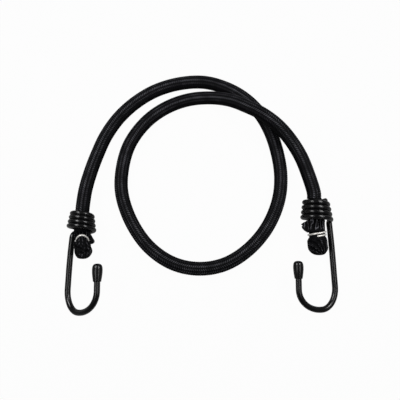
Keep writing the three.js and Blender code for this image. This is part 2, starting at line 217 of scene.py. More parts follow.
def catmull_rom(points: np.ndarray, per_span: int) -> np.ndarray:
    """Centripetal Catmull-Rom curve: cubic spans whose tangents allow for the points' uneven spacing.

    Args:
        points: Points that the curve passes through.
        per_span: Points worked out for each span.

    Returns:
        Points along the curve, ends included.
    """
    whole = np.vstack([2 * points[0] - points[1], points, 2 * points[-1] - points[-2]])
    p0, p1, p2, p3 = whole[:-3], whole[1:-2], whole[2:-1], whole[3:]
    pairs = ((p0, p1), (p1, p2), (p2, p3))
    d0, d1, d2 = (np.sqrt(np.linalg.norm(b - a, axis=1))[:, None] for a, b in pairs)
    m1 = ((p1 - p0) / d0 - (p2 - p0) / (d0 + d1) + (p2 - p1) / d1) * d1
    m2 = ((p2 - p1) / d1 - (p3 - p1) / (d1 + d2) + (p3 - p2) / d2) * d1
    t = (np.arange(per_span) / per_span)[None, :, None]
    p1, p2, m1, m2 = (x[:, None] for x in (p1, p2, m1, m2))
    curve = p1 + m1 * t + (3 * (p2 - p1) - 2 * m1 - m2) * t**2 + (2 * (p1 - p2) + m1 + m2) * t**3
    return np.vstack([curve.reshape(-1, points.shape[1]), points[-1:]])


def grid_faces(rows: int, columns: int, start: int = 0) -> np.ndarray:
    """Quads between rings of points, each ring closed on itself.

    Args:
        rows: Number of rings.
        columns: Points in a ring.
        start: Index of the first point.

    Returns:
        One row of four indices for each quad, facing out where rings run right-handed about the path.
    """
    i = np.arange(rows - 1)[:, None] * columns
    j = np.arange(columns)[None, :]
    k = (j + 1) % columns
    quads = np.stack([i + j, i + k, i + columns + k, i + columns + j], axis=-1)
    return quads.reshape(-1, 4) + start


def carried(path: np.ndarray, across: np.ndarray, radius: np.ndarray, angles: np.ndarray) -> np.ndarray:
    """Carries a section along a path: centre + radius * (cos a * normal + sin a * binormal).

    The normal is the given direction made square to the path, and the binormal is path x normal.

    Args:
        path: Centres of the rings, one row each.
        across: Direction of angle 0, one for all rings or one each.
        radius: Radius for each ring, or for each ring and angle.
        angles: Angles round the section.

    Returns:
        Points, as rings x angles x 3.
    """
    along = unit(np.gradient(path, axis=0))
    normal = np.broadcast_to(across, path.shape)
    normal = unit(normal - along * np.sum(normal * along, axis=1, keepdims=True))[:, None]
    binormal = np.cross(along, normal[:, 0])[:, None]
    radius = np.broadcast_to(np.atleast_2d(radius.T).T, (len(path), len(angles)))[..., None]
    around = np.cos(angles)[None, :, None] * normal + np.sin(angles)[None, :, None] * binormal
    return path[:, None] + radius * around


def round_wire(path: np.ndarray, across: np.ndarray, radius: np.ndarray, sides: int) -> np.ndarray:
    """Rings of a round wire whose cut ends are rounded over.

    Args:
        path: Middle of the wire.
        across: Direction of angle 0, one for all rings or one each.
        radius: Radius for each ring.
        sides: Points in a ring.

    Returns:
        Points, as rings x sides x 3, with more rings at each end that close in.
    """
    first, last = unit(path[0] - path[1]), unit(path[-1] - path[-2])
    ahead = path[0] + first * (ROUNDED_STEPS[::-1, None] * radius[0])
    behind = path[-1] + last * (ROUNDED_STEPS[:, None] * radius[-1])
    whole = np.vstack([ahead, path, behind])
    sizes = np.concatenate([ROUNDED_SHARES[::-1] * radius[0], radius, ROUNDED_SHARES * radius[-1]])
    across = np.broadcast_to(across, path.shape)
    more = len(ROUNDED_STEPS)
    across = np.vstack([across[:1]] * more + [across] + [across[-1:]] * more)
    return carried(whole, across, sizes, spread(sides))


def piece_of(
    name: str, parts: list[np.ndarray], capped: bool = True, sharp: float | None = None
) -> bpy.types.Object:
    """Puts one or more tubes of rings into one mesh.

    Args:
        name: Name of the piece.
        parts: Points of each tube, in millimetres, as rings x points x 3.
        capped: Whether each tube is closed by a flat face at both ends.
        sharp: Angle in degrees past which an edge is shaded sharp.

    Returns:
        The new object, at the origin.
    """
    faces: list[list[int]] = []
    start = 0
    for part in parts:
        rows, columns = part.shape[:2]
        faces += grid_faces(rows, columns, start).tolist()
        if capped:
            ring = np.arange(columns) + start
            faces += [ring[::-1].tolist(), (ring + (rows - 1) * columns).tolist()]
        start += rows * columns
    points = np.vstack([part.reshape(-1, 3) for part in parts]) * MM
    mesh = bpy.data.meshes.new(name)
    mesh.from_pydata(points.tolist(), [], faces)
    mesh.polygons.foreach_set("use_smooth", np.ones(len(faces), bool))
    if sharp is not None:
        mesh.set_sharp_from_angle(angle=math.radians(sharp))
    mesh.update()
    piece = bpy.data.objects.new(name, mesh)
    bpy.context.scene.collection.objects.link(piece)
    return piece


def keep_value(piece: bpy.types.Object, name: str, values: np.ndarray) -> None:
    """Stores one number for each point of a piece, which its material reads by name."""
    attribute = piece.data.attributes.new(name, "FLOAT", "POINT")
    attribute.data.foreach_set("value", values.astype(np.float32).ravel())


def dressed(piece: bpy.types.Object, material: bpy.types.Material) -> bpy.types.Object:
    """Gives a piece its material.

    Args:
        piece: Piece to dress.
        material: Its finish.

    Returns:
        The same piece.
    """
    piece.data.materials.append(material)
    log.info("%s: %d points, %s", piece.name, len(piece.data.vertices), material.name)
    return piece


@dataclass(frozen=True)
class BraidedPolyester:
    """Polyester yarn braided over the cord: matt black, with painted shade between the yarns and a painted
    sheen where they crown.

    A fibre is far thinner than fibre_mm, which is as fine as still shows.
    """

    # The ramp from the valley colour to the yarn colour paints shade between the yarns and a sheen on their
    # crowns, over the yarn's own black.
    shaded_valley: str = "#030304"
    flank: str = "#131315"
    yarn: str = "#5a5a5f"
    mottle_mm: float = 6.0
    mottle: Pair = (0.3, 0.7)
    worn: Pair = (0.7, 1.0)
    fibre_mm: float = 0.22
    fibre_depth_mm: float = 0.05
    bump: float = 0.35
    roughness: Pair = (0.45, 0.62)
    ior: float = 1.1

    def material(self) -> bpy.types.Material:
        """Builds the material, which reads how high each point stands in the braid,
        times the painted light and shade kept with it.

        Returns:
            The material.
        """
        made, tree, shader, place = begin("braided_polyester")
        # The crown attribute holds the braid's height times painted light and shade: shade down the cord's
        # sides, in creases and towards the folds' poles, and highlights on ridges and pleats.
        crown = add(tree, "ShaderNodeAttribute", attribute_name="crown").outputs["Fac"]
        mottle, fibre = (
            add(tree, "ShaderNodeTexNoise", {"Vector": place, "Scale": 1 / (size * MM), "Detail": detail})
            for size, detail in ((self.mottle_mm, 3.0), (self.fibre_mm, 2.0))
        )
        (least, most), (faded, fresh), (smooth, rough) = self.mottle, self.worn, self.roughness
        worn = add(
            tree,
            "ShaderNodeMapRange",
            {"Value": mottle, "From Min": least, "From Max": most, "To Min": faded, "To Max": fresh},
        )
        lit = add(tree, "ShaderNodeMath", {0: crown, 1: worn}, operation="MULTIPLY")
        tone = add(tree, "ShaderNodeValToRGB", {"Fac": lit}, (self.shaded_valley, self.flank, self.yarn))
        sheen = add(tree, "ShaderNodeMapRange", {"Value": fibre, "To Min": smooth, "To Max": rough})
        depth = self.fibre_depth_mm * MM
        bump = add(tree, "ShaderNodeBump", {"Height": fibre, "Strength": self.bump, "Distance": depth})
        feed(shader, {"Base Color": tone, "Roughness": sheen, "Normal": bump, "IOR": self.ior})
        return made


@dataclass(frozen=True)
class LatexRubber:
    """Natural latex thread, extruded and dusted: pale tan and matt."""

    dark: str = "#b59c66"
    pale: str = "#d3c193"
    patch_mm: float = 3.0
    roughness: float = 0.65

    def material(self) -> bpy.types.Material:
        """Builds the material, with slow changes of tone along the threads.

        Returns:
            The material.
        """
        made, tree, shader, place = begin("natural_latex_rubber")
        scale = 1 / (self.patch_mm * MM)
        patch = add(tree, "ShaderNodeTexNoise", {"Vector": place, "Scale": scale, "Detail": 3.0})
        tone = add(tree, "ShaderNodeValToRGB", {"Fac": patch}, (self.dark, self.pale))
        feed(shader, {"Base Color": tone, "Roughness": self.roughness})
        return made


@dataclass(frozen=True)
class DippedSteelWire:
    """Steel wire dipped in vinyl: gloss black, with a faint orange peel that breaks up the highlights."""

    black: str = "#070708"
    handled: str = "#0c0c0d"
    peel_mm: float = 1.6
    peel_depth_mm: float = 0.08
    bump: float = 0.08
    scuff_mm: float = 5.0
    scuff: Pair = (0.35, 0.7)
    roughness: Pair = (0.2, 0.28)
    ior: float = 1.42

    def material(self) -> bpy.types.Material:
        """Builds the material, whose gloss is a little duller in patches from handling.

        Returns:
            The material.
        """
        made, tree, shader, place = begin("vinyl_dipped_steel")
        peel, scuff = (
            add(tree, "ShaderNodeTexNoise", {"Vector": place, "Scale": 1 / (size * MM), "Detail": detail})
            for size, detail in ((self.peel_mm, 1.0), (self.scuff_mm, 4.0))
        )
        (least, most), (smooth, rough) = self.scuff, self.roughness
        gloss = add(
            tree,
            "ShaderNodeMapRange",
            {"Value": scuff, "From Min": least, "From Max": most, "To Min": smooth, "To Max": rough},
        )
        tone = add(tree, "ShaderNodeValToRGB", {"Fac": scuff}, (self.black, self.handled))
        depth = self.peel_depth_mm * MM
        bump = add(tree, "ShaderNodeBump", {"Height": peel, "Strength": self.bump, "Distance": depth})
        feed(shader, {"Base Color": tone, "Roughness": gloss, "Normal": bump, "IOR": self.ior})
        return made


@dataclass(frozen=True)
class MouldedRubber:
    """Moulded rubber: satin black, with the fine grain of an eroded mould that softens its highlights."""

    black: str = "#08080a"
    worn: str = "#0f0f10"
    grain_mm: float = 0.3
    grain_depth_mm: float = 0.04
    bump: float = 0.12
    roughness: Pair = (0.2, 0.32)
    ior: float = 1.38

    def material(self) -> bpy.types.Material:
        """Builds the material from a fine grain.

        Returns:
            The material.
        """
        made, tree, shader, place = begin("moulded_rubber")
        scale = 1 / (self.grain_mm * MM)
        smooth, rough = self.roughness
        grain = add(tree, "ShaderNodeTexNoise", {"Vector": place, "Scale": scale, "Detail": 3.0})
        tone = add(tree, "ShaderNodeValToRGB", {"Fac": grain}, (self.black, self.worn))
        satin = add(tree, "ShaderNodeMapRange", {"Value": grain, "To Min": smooth, "To Max": rough})
        depth = self.grain_depth_mm * MM
        bump = add(tree, "ShaderNodeBump", {"Height": grain, "Strength": self.bump, "Distance": depth})
        feed(shader, {"Base Color": tone, "Roughness": satin, "Normal": bump, "IOR": self.ior})
        return made


@dataclass(frozen=True)
class GalvanisedWire:
    """Drawn steel wire with a bright zinc coat: silver, brighter and duller in small patches."""

    dull: str = "#c9c6c0"
    bright: str = "#e9e7e3"
    streak_mm: float = 0.8
    roughness: Pair = (0.45, 0.32)
    metallic: float = 0.4

    def material(self) -> bpy.types.Material:
        """Builds the material, smoother where it is brighter.

        Returns:
            The material.
        """
        made, tree, shader, place = begin("galvanised_steel_wire")
        scale = 1 / (self.streak_mm * MM)
        rough, smooth = self.roughness
        streak = add(tree, "ShaderNodeTexNoise", {"Vector": place, "Scale": scale, "Detail": 3.0})
        tone = add(tree, "ShaderNodeValToRGB", {"Fac": streak}, (self.dull, self.bright))
        gloss = add(tree, "ShaderNodeMapRange", {"Value": streak, "To Min": rough, "To Max": smooth})
        feed(shader, {"Base Color": tone, "Roughness": gloss, "Metallic": self.metallic})
        return made


@dataclass(frozen=True)
class Braid:
    """Herringbone braid: columns of slanted yarns that lean one way and the other in turn.

    The real yarns are finer. These are as coarse as they need to be to show as rows of beads.
    """

    columns: int = 12
    pitch_mm: float = 1.5
    height_mm: float = 0.22
    mean: float = 0.6
    under: float = 0.8
    rounding: float = 1.4

    def crown(self, angle: np.ndarray, along: np.ndarray) -> np.ndarray:
        """How high the surface stands in the braid, from 0 between yarns to 1 on a yarn.

        A yarn's height is a power of |sin| of its phase, which runs along the cord and leans to and fro from
        one column to the next, times a rounded fall towards the edges of the column, where the yarn goes
        under. Every other column lies a little deeper.

        Args:
            angle: Angle round the cord.
            along: Distance along the cord.

        Returns:
            Height for each pair of angle and distance.
        """
        column = angle * self.columns / TURN
        across = column - np.floor(column)
        even = np.floor(column) % 2 < 1
        lean = np.where(even, 1.0, -1.0) * (across - 0.5)
        yarn = np.abs(np.sin(math.pi * (along / self.pitch_mm + lean))) ** self.rounding
        return yarn * np.sqrt(np.clip(np.sin(math.pi * across), 0, 1)) * np.where(even, 1.0, self.under)

    def relief(self, crown: np.ndarray) -> np.ndarray:
        """How far the braid stands out of the plain form, which lies at its mean height."""
        return self.height_mm * (crown - self.mean)


@dataclass(frozen=True)
class Sway:
    """How far the folded end's sections stand off the cord's line, to the right."""

    cord: float
    neck: float
    waist: float
    fold: float


@dataclass(frozen=True)
class EndLay:
    """How one end of the cord lies on the floor, and the sizes and the frame that its pieces share.

    The station is the middle of the coil's wide end. From there the cord's line goes to the hook, turned by
    the heading from straight down the photograph and by the dip from level.
    """

    side: Side
    station: Triple
    heading: float
    dip: float
    hook_turn: float
    shank: float
    shank_lean: float
    tip: float
    coil_wire: float
    clearance: float
    sway: Sway
    cord_radius: float = 5.0
    turn_gap: float = 0.46
    growth: float = 0.55
    first_angle: float = 28.0
    last_angle: float = 1430.0
    face_gap: float = 0.3

    @property
    def body(self) -> str:
        """Body that carries the folded end."""
        return f"{self.side.value}_end"

    @property
    def hook_body(self) -> str:
        """Body that carries the hook."""
        return f"{self.side.value}_hook"

    @property
    def turns(self) -> float:
        """Number of turns in the coil."""
        return (self.last_angle - self.first_angle) / 360

    @property
    def narrow(self) -> float:
        """Radius of the coil's narrowest turn."""
        return self.cord_radius + self.clearance + self.coil_wire / 2

    @property
    def wide(self) -> float:
        """Radius of the coil's widest turn."""
        return self.narrow + self.growth * self.turns

    @property
    def coil_length(self) -> float:
        """Length of the coil, from middle to middle of its wire."""
        return (self.coil_wire + self.turn_gap) * self.turns

    @property
    def seat(self) -> float:
        """Where the free cord meets the folded end."""
        return -self.coil_length - self.coil_wire / 2 - 2 * self.face_gap

    def placed(self, points: np.ndarray) -> np.ndarray:
        """Moves points from this end's frame to the floor's frame.

        Args:
            points: Points whose last axis is X, Y and Z.

        Returns:
            The same points on the floor.
        """
        heading, dip = math.radians(self.heading), math.radians(self.dip)
        along = np.array(
            [math.sin(heading) * math.cos(dip), -math.cos(heading) * math.cos(dip), -math.sin(dip)]
        )
        side = unit(np.cross(UPWARDS, along))
        rise = np.cross(along, side)
        return points @ np.stack([side, rise, along]) + np.array(self.station)

    def hooked(self, points: np.ndarray) -> np.ndarray:
        """Moves points from the hook's own frame, turned about the cord, to the floor's frame.

        Args:
            points: Points whose last axis is X, Y and Z.

        Returns:
            The same points on the floor.
        """
        turn = math.radians(self.hook_turn)
        c, s = math.cos(turn), math.sin(turn)
        return self.placed(points @ np.array([[c, s, 0.0], [-s, c, 0.0], [0.0, 0.0, 1.0]]))


@dataclass
class WireHook:
    """A hook bent from one wire: tip leg, half round bend, shank and a coil that narrows towards the cord.

    The shank bows by bow over its last bow_length. The coat is thicker by dipped on the hook and by fuller
    on the coil, and uneven by waves of share, rate and phase. The coil's turns lean by slant to the right
    and upwards, are pressed together by squeeze and moved by drawn, swell and aside, and the last one closes
    by closed on its neighbour.
    """

    lay: EndLay
    hook_wire: float = 4.0
    corner: float = 5.0
    corner_pull: float = 0.6
    step_out: float = 1.3
    throat: float = 26.7
    skew: float = 3.1
    tip_lean: float = 3.0
    tip_cover: float = 2.2
    coat_end: float = 0.8
    bow: float = 0.0
    bow_length: float = 24.0
    fuller: float = 0.45
    dipped: float = 0.25
    slant: Pair = (0.045, -0.1)
    squeeze: float = 1.0
    drawn: float = 0.0
    swell: float = 0.0
    aside: float = 0.0
    closed: float = 0.4
    closing: float = 220.0
    run_out: float = 0.7
    waves: tuple[Triple, ...] = ((0.006, 0.13, 0.0), (0.004, 0.31, 1.0))
    sides: int = 28
    tip_rings: int = 14
    bend_rings: int = 68
    shank_rings: int = 60
    corner_rings: int = 18
    coil_rings: int = 360
    out_rings: int = 6

    @property
    def half(self) -> float:
        """Half the distance between the middles of the shank and the tip leg."""
        return (self.throat + self.hook_wire) / 2

    def at(self, across: np.ndarray | float, down: np.ndarray) -> np.ndarray:
        """Points of the hook's plane.

        Args:
            across: Distance across the throat, from the shank.
            down: Distance down the leaning shank.

        Returns:
            Points in the hook's own frame.
        """
        across, down = np.broadcast_arrays(np.asarray(across, float), np.asarray(down, float))
        lean = math.radians(self.lay.shank_lean)
        x = self.lay.wide + self.step_out - across * math.cos(lean) + down * math.sin(lean)
        z = self.corner + across * math.sin(lean) + down * math.cos(lean)
        return np.stack([x, 0 * x, z], axis=-1)

    def on_tip(self, length: np.ndarray) -> np.ndarray:
        """Points of the tip leg's line, which goes on straight from the end of the bend.

        Args:
            length: Distance from the end of the bend.

        Returns:
            Points in the hook's own frame.
        """
        lean, wide = math.radians(self.tip_lean), self.half + self.skew
        turn = math.atan2(wide * math.sin(lean), self.half * math.cos(lean))
        across = self.half - self.skew + wide * math.cos(lean) - length * math.sin(turn)
        down = self.lay.shank - self.corner - self.half * math.sin(lean) - length * math.cos(turn)
        return self.at(across, down)

    def coil_point(self, degrees: np.ndarray) -> np.ndarray:
        """Helix that narrows evenly: (r cos a, r sin a, -pitch * turns), r falling by the growth each turn.

        Args:
            degrees: Angles round the coil.

        Returns:
            Points in the hook's own frame.
        """
        turns = (degrees - self.lay.first_angle) / 360
        radius = self.lay.wide + self.swell - self.lay.growth * turns
        angle, turn = np.radians(degrees), math.radians(self.lay.hook_turn)
        pitch = (self.lay.coil_wire + self.lay.turn_gap) * self.squeeze
        lean = radius * (self.slant[0] * np.cos(angle + turn) + self.slant[1] * np.sin(angle + turn))
        last = self.lay.last_angle
        lean = lean + self.closed * ramp(degrees, last - self.closing, last)
        x = radius * np.cos(angle) + self.aside * math.cos(turn)
        y = radius * np.sin(angle) - self.aside * math.sin(turn)
        return np.stack([x, y, self.drawn + lean - pitch * turns], axis=-1)

    def middle(self) -> tuple[np.ndarray, np.ndarray, np.ndarray]:
        """Works out the middle of the wire in the hook's own frame.

        The bend is two quarters of ellipses, tighter on the shank's side and wider on the tip's side. The
        corner between shank and coil is a Bezier curve.

        Returns:
            Path, radius and direction of angle 0 at each point: square to the hook's plane along the hook,
            and turned into the coil's axis through the corner.
        """
        long, first, last = self.lay.shank - self.corner, self.lay.first_angle, self.lay.last_angle
        tip = self.on_tip(np.linspace(self.lay.tip - self.tip_cover, 0, self.tip_rings)[:-1])
        angle = np.linspace(math.pi + math.radians(self.tip_lean), 0, self.bend_rings)
        reach = np.where(angle > math.pi / 2, self.half + self.skew, self.half - self.skew)
        bend = self.at(self.half - self.skew - reach * np.cos(angle), long + self.half * np.sin(angle))
        shank = self.at(0.0, np.linspace(long, 0, self.shank_rings)[1:])
        shank[:, 0] += self.bow * np.clip(1 - (shank[:, 2] - self.corner) / self.bow_length, 0, 1) ** 2
        foot, fall = shank[-1], unit(shank[-2] - shank[-1])
        half_degree = 0.5
        head, beyond = self.coil_point(np.array([first, first + half_degree]))
        pull = self.corner * self.corner_pull
        t = np.linspace(0, 1, self.corner_rings)[1:-1]
        corner = bezier(t, foot, foot - fall * pull, head - unit(beyond - head) * pull, head)
        coil = self.coil_point(np.linspace(first, last, self.coil_rings))
        further = np.linspace(0, self.lay.coil_wire * self.run_out, self.out_rings)[1:, None]
        out = unit(coil[-1] - coil[-2]) * further + coil[-1]
        path = np.vstack([tip, bend, shank, corner, coil, out])
        hook, turned = len(tip) + len(bend) + len(shank), len(coil) + len(out)
        coiled = np.concatenate([np.zeros(hook), t, np.ones(turned)])
        wire = self.lay.coil_wire
        wire = wire + (self.hook_wire - wire) * (1 - ramp(coiled, 0.0, self.coat_end))
        radius = (wire + self.dipped + (self.fuller - self.dipped) * coiled) / 2
        lean = coiled * math.pi / 2
        return path, radius, np.stack([0 * lean, np.cos(lean), np.sin(lean)], axis=-1)

    def build(self, finish: bpy.types.Material) -> bpy.types.Object:
        """Makes the wire, a little uneven as a dipped coat is, and hangs it on its body.

        Args:
            finish: Material of the coat.

        Returns:
            The wire.
        """
        path, radius, across = self.middle()
        run = np.arange(len(path))
        uneven = sum(share * np.sin(run * rate + phase) for share, rate, phase in self.waves)
        rings = round_wire(path, across, radius * (1 + uneven), self.sides)
        wire = piece_of(f"{self.lay.side.value}_wire", [self.lay.hooked(rings)], sharp=WIRE_SHARP)
        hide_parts(f"{self.lay.side.value}_hook_wire")
        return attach(dressed(wire, finish), self.lay.hook_body)


@dataclass
class TipCap:
    """Egg-shaped rubber cap with a blind bore, pushed on the hook's tip.

    It is widest at the share widest of its length. The pulls are shares of its swell, length or width.
    bore_end is the share of the bore that its flat end takes and its chamfer, and pole is the radius of the
    small flats that close both ends of the profile.
    """

    hook: WireHook
    length: float = 12.4
    wall: float = 0.6
    swell: float = 0.8
    widest: float = 0.64
    rim_pull: Pair = (0.4, 0.2)
    side_pull: float = 0.42
    dome_pull: float = 0.92
    top_pull: float = 0.72
    lip: float = 0.3
    fit: float = 0.2
    gap: float = 0.3
    bore_end: Pair = (0.6, 0.4)
    pole: float = 0.02
    ridge: float = 0.05
    ridge_width: float = 0.06
    ridge_row: int = 15
    ridge_least: float = 1.0
    curve_rows: int = 20
    lip_rows: int = 9
    sides: int = 56

    def profile(self) -> np.ndarray:
        """Works out the section: down the bore, round the rim and up the egg.

        The egg is two Bezier curves that meet where it is widest, and the rim is half a circle.

        Returns:
            Rows of radius and height, from the middle of the bore's end to the top of the dome.
        """
        bore = self.hook.hook_wire / 2 + self.fit
        rim = bore + self.wall
        wide, high = rim + self.swell, self.length
        belt = (wide, high * self.widest)
        pulled = (rim + self.rim_pull[0] * self.swell, high * self.rim_pull[1])
        t = np.linspace(0, 1, self.curve_rows)
        side = bezier(t, (rim, self.lip), pulled, (wide, high * self.side_pull), belt)
        dome = bezier(t, belt, (wide, high * self.dome_pull), (wide * self.top_pull, high), (0.0, high))[1:]
        dome[-1, 0] = self.pole
        turn = np.linspace(math.pi, 0, self.lip_rows)[:-1]
        middle = (bore + rim) / 2
        lip = np.stack([middle + self.wall / 2 * np.cos(turn), self.lip - self.lip * np.sin(turn)], axis=-1)
        deep = high - self.hook.tip_cover + self.gap
        share, chamfer = self.bore_end
        inside = [[self.pole, deep], [bore * share, deep], [bore, deep - chamfer], [bore, deep / 2]]
        return np.vstack([inside, lip, side, dome])

    def build(self, finish: bpy.types.Material) -> bpy.types.Object:
        """Turns the profile about the tip leg, with the faint ridge of the mould's parting line.

        Args:
            finish: Material of the cap.

        Returns:
            The cap.
        """
        lay = self.hook.lay
        rows = self.profile()
        radius, height = rows[:, :1], rows[:, 1, None, None]
        angles = spread(self.sides)
        ridged = (np.arange(len(rows)) >= self.ridge_row)[:, None] & (radius > self.ridge_least)
        ridge = self.ridge * hump(angles % math.pi, math.pi / 2, self.ridge_width)
        radius = (radius + ridge[None, :] * ridged)[..., None]
        rim, top = self.hook.on_tip(np.array([lay.tip - self.length, lay.tip]))
        up, square = unit(top - rim), np.array([0.0, 1.0, 0.0])
        outwards = np.cos(angles)[:, None] * square + np.sin(angles)[:, None] * np.cross(up, square)
        points = lay.hooked(rim + height * up + radius * outwards)
        cap = piece_of(f"{lay.side.value}_cap", [points], sharp=CAP_SHARP)
        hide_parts(f"{lay.side.value}_hook_cap")
        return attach(dressed(cap, finish), lay.hook_body)


@dataclass(frozen=True)
class Creases:
    """How the cloth of a folded end stands out of the plain form: creases in front and ribs behind.

    front is where the sine of the angle leads from the back to the front, and below is where the fold
    starts, from the lower edge of the ring's band.
    """

    back_ribs: int
    back_depth: float = 0.16
    front: Pair = (-0.3, 0.5)
    below: Pair = (-0.4, 1.6)

    def on_fold(self, end: "FoldedEnd", x: np.ndarray, place: np.ndarray) -> np.ndarray:
        """Height of the creases on the front of the fold, by the distance to the right and the place."""
        raise NotImplementedError

    def on_neck(self, angle: np.ndarray, place: np.ndarray, below: np.ndarray) -> np.ndarray:
        """Height of the neck's own forms, by the angle, the place and how far the fold has started."""
        raise NotImplementedError

    def height(self, end: "FoldedEnd", angle: np.ndarray, place: np.ndarray) -> np.ndarray:
        """Puts the forms of the front, the back and the neck together.

        Args:
            end: Folded end that has the creases.
            angle: Angle round the end, a quarter turn being the side that is seen.
            place: Distance towards the hook.

        Returns:
            Height for each pair of angle and place.
        """
        x = end.fold_width / 2 * np.cos(angle)
        front = ramp(np.sin(angle), *self.front)
        below = ramp(place - end.top, *self.below)
        back = self.back_depth * np.cos(self.back_ribs * angle) * (1 - front)
        return (self.on_fold(end, x, place) * front + back) * below + self.on_neck(angle, place, below)


@dataclass(frozen=True)
class FannedCreases(Creases):
    """The right end: creases fan out from a point low on the right, and the tail presses the neck flat.

    The point lies to the right and past the pole. The dent has a place to the right and past the waist, and
    a width each way.
    """

    back_ribs: int = 13
    point: Pair = (4.5, 2.0)
    rays: int = 24
    depth: float = 0.26
    spreading: Pair = (1.0, 4.0)
    dent: float = 0.5
    dent_place: Pair = (-2.6, 5.0)
    dent_width: Pair = (1.6, 3.2)
    pressed: float = 0.9
    pressed_front: Pair = (0.25, 0.8)
    pressed_from: Pair = (-0.4, 1.4)
    pressed_to: Pair = (9.4, 10.8)

    def on_fold(self, end: "FoldedEnd", x: np.ndarray, place: np.ndarray) -> np.ndarray:
        """Waves by cos(rays * angle about the point), and a dent.

        Args:
            end: Folded end that has the creases.
            x: Distance to the right.
            place: Distance towards the hook.

        Returns:
            Height for each pair of distance and place.
        """
        right, past = self.point
        up, aside = end.pole + past - place, x - right
        fan = self.depth * np.cos(self.rays * np.arctan2(up, aside))
        fan = fan * ramp(np.hypot(up, aside), *self.spreading)
        (dent_x, dent_z), (wide, long) = self.dent_place, self.dent_width
        return fan - self.dent * hump(x, dent_x, wide) * hump(place - end.waist, dent_z, long)

    def on_neck(self, angle: np.ndarray, place: np.ndarray, below: np.ndarray) -> np.ndarray:
        """The flat that the tail presses into the front of the neck."""
        length = ramp(place, *self.pressed_from) * (1 - ramp(place, *self.pressed_to))
        return -self.pressed * ramp(np.sin(angle), *self.pressed_front) * length


@dataclass(frozen=True)
class Curl:
    """A curled crease: a ridge round a pit. Ridge and pit have a height, a radius and a width.

    The place is to the right and past the pole. An open ridge is left out where the sine of the angle
    about the pit, turned on by the opening in radians, is low.
    """

    place: Pair
    ridge: Triple
    pit: Triple
    opening: float | None = None
    opens: Pair = (-0.5, 0.2)

    def height(self, x: np.ndarray, past: np.ndarray) -> np.ndarray:
        """Works out the curl.

        Args:
            x: Distance to the right.
            past: Distance past the pole, below 0 on the fold.

        Returns:
            Height for each pair of distances.
        """
        x, past = x - self.place[0], past - self.place[1]
        reach = np.hypot(x, past)
        ridge = self.ridge[0] * hump(reach, *self.ridge[1:])
        if self.opening is not None:
            ridge = ridge * ramp(np.sin(np.arctan2(past, x) + self.opening), *self.opens)
        return ridge + self.pit[0] * hump(reach, *self.pit[1:])


@dataclass(frozen=True)
class CurledCreases(Creases):
    """The left end: soft ribs run down the neck and curled creases lie across the fold.

    The furrow and the last ridge have a height, a place past the pole and a width, and they slope across.
    The phase of the ribs is in radians.
    """

    back_ribs: int = 12
    ribs: int = 14
    rib_depth: float = 0.22
    rib_phase: float = 0.6
    neck: Pair = (0.5, 2.2)
    column_pitch: float = 2.3
    column_depth: float = 0.3
    column_end: Pair = (1.5, 4.5)
    furrow: Triple = (-0.6, -7.0, 0.7)
    furrow_slope: float = 0.55
    furrow_end: Pair = (0.0, 2.5)
    last_ridge: Triple = (0.3, -1.6, 0.5)
    last_slope: float = -0.3
    curls: tuple[Curl, ...] = (
        Curl((0.4, -4.3), ridge=(0.5, 1.7, 0.5), pit=(-0.45, 0.2, 0.8), opening=0.6),
        Curl((3.6, -5.6), ridge=(0.45, 1.7, 0.45), pit=(-0.5, 0.1, 0.9)),
    )

    def on_fold(self, end: "FoldedEnd", x: np.ndarray, place: np.ndarray) -> np.ndarray:
        """Adds up the columns under the ring, the furrow, the curls and the last ridge.

        Args:
            end: Folded end that has the creases.
            x: Distance to the right.
            place: Distance towards the hook.

        Returns:
            Height for each pair of distance and place.
        """
        past = place - end.pole
        columns = self.column_depth * np.cos(TURN * x / self.column_pitch)
        columns = columns * (1 - ramp(place - end.top, *self.column_end))
        furrow = self.furrow[0] * hump(past - self.furrow_slope * x, *self.furrow[1:])
        furrow = furrow * (1 - ramp(x, *self.furrow_end))
        last = self.last_ridge[0] * hump(past - self.last_slope * x, *self.last_ridge[1:])
        return columns + furrow + last + sum(curl.height(x, past) for curl in self.curls)

    def on_neck(self, angle: np.ndarray, place: np.ndarray, below: np.ndarray) -> np.ndarray:
        """The ribs of the neck, which end where the fold starts."""
        neck = ramp(place, *self.neck) * (1 - below)
        return self.rib_depth * np.cos(self.ribs * angle + self.rib_phase) * neck


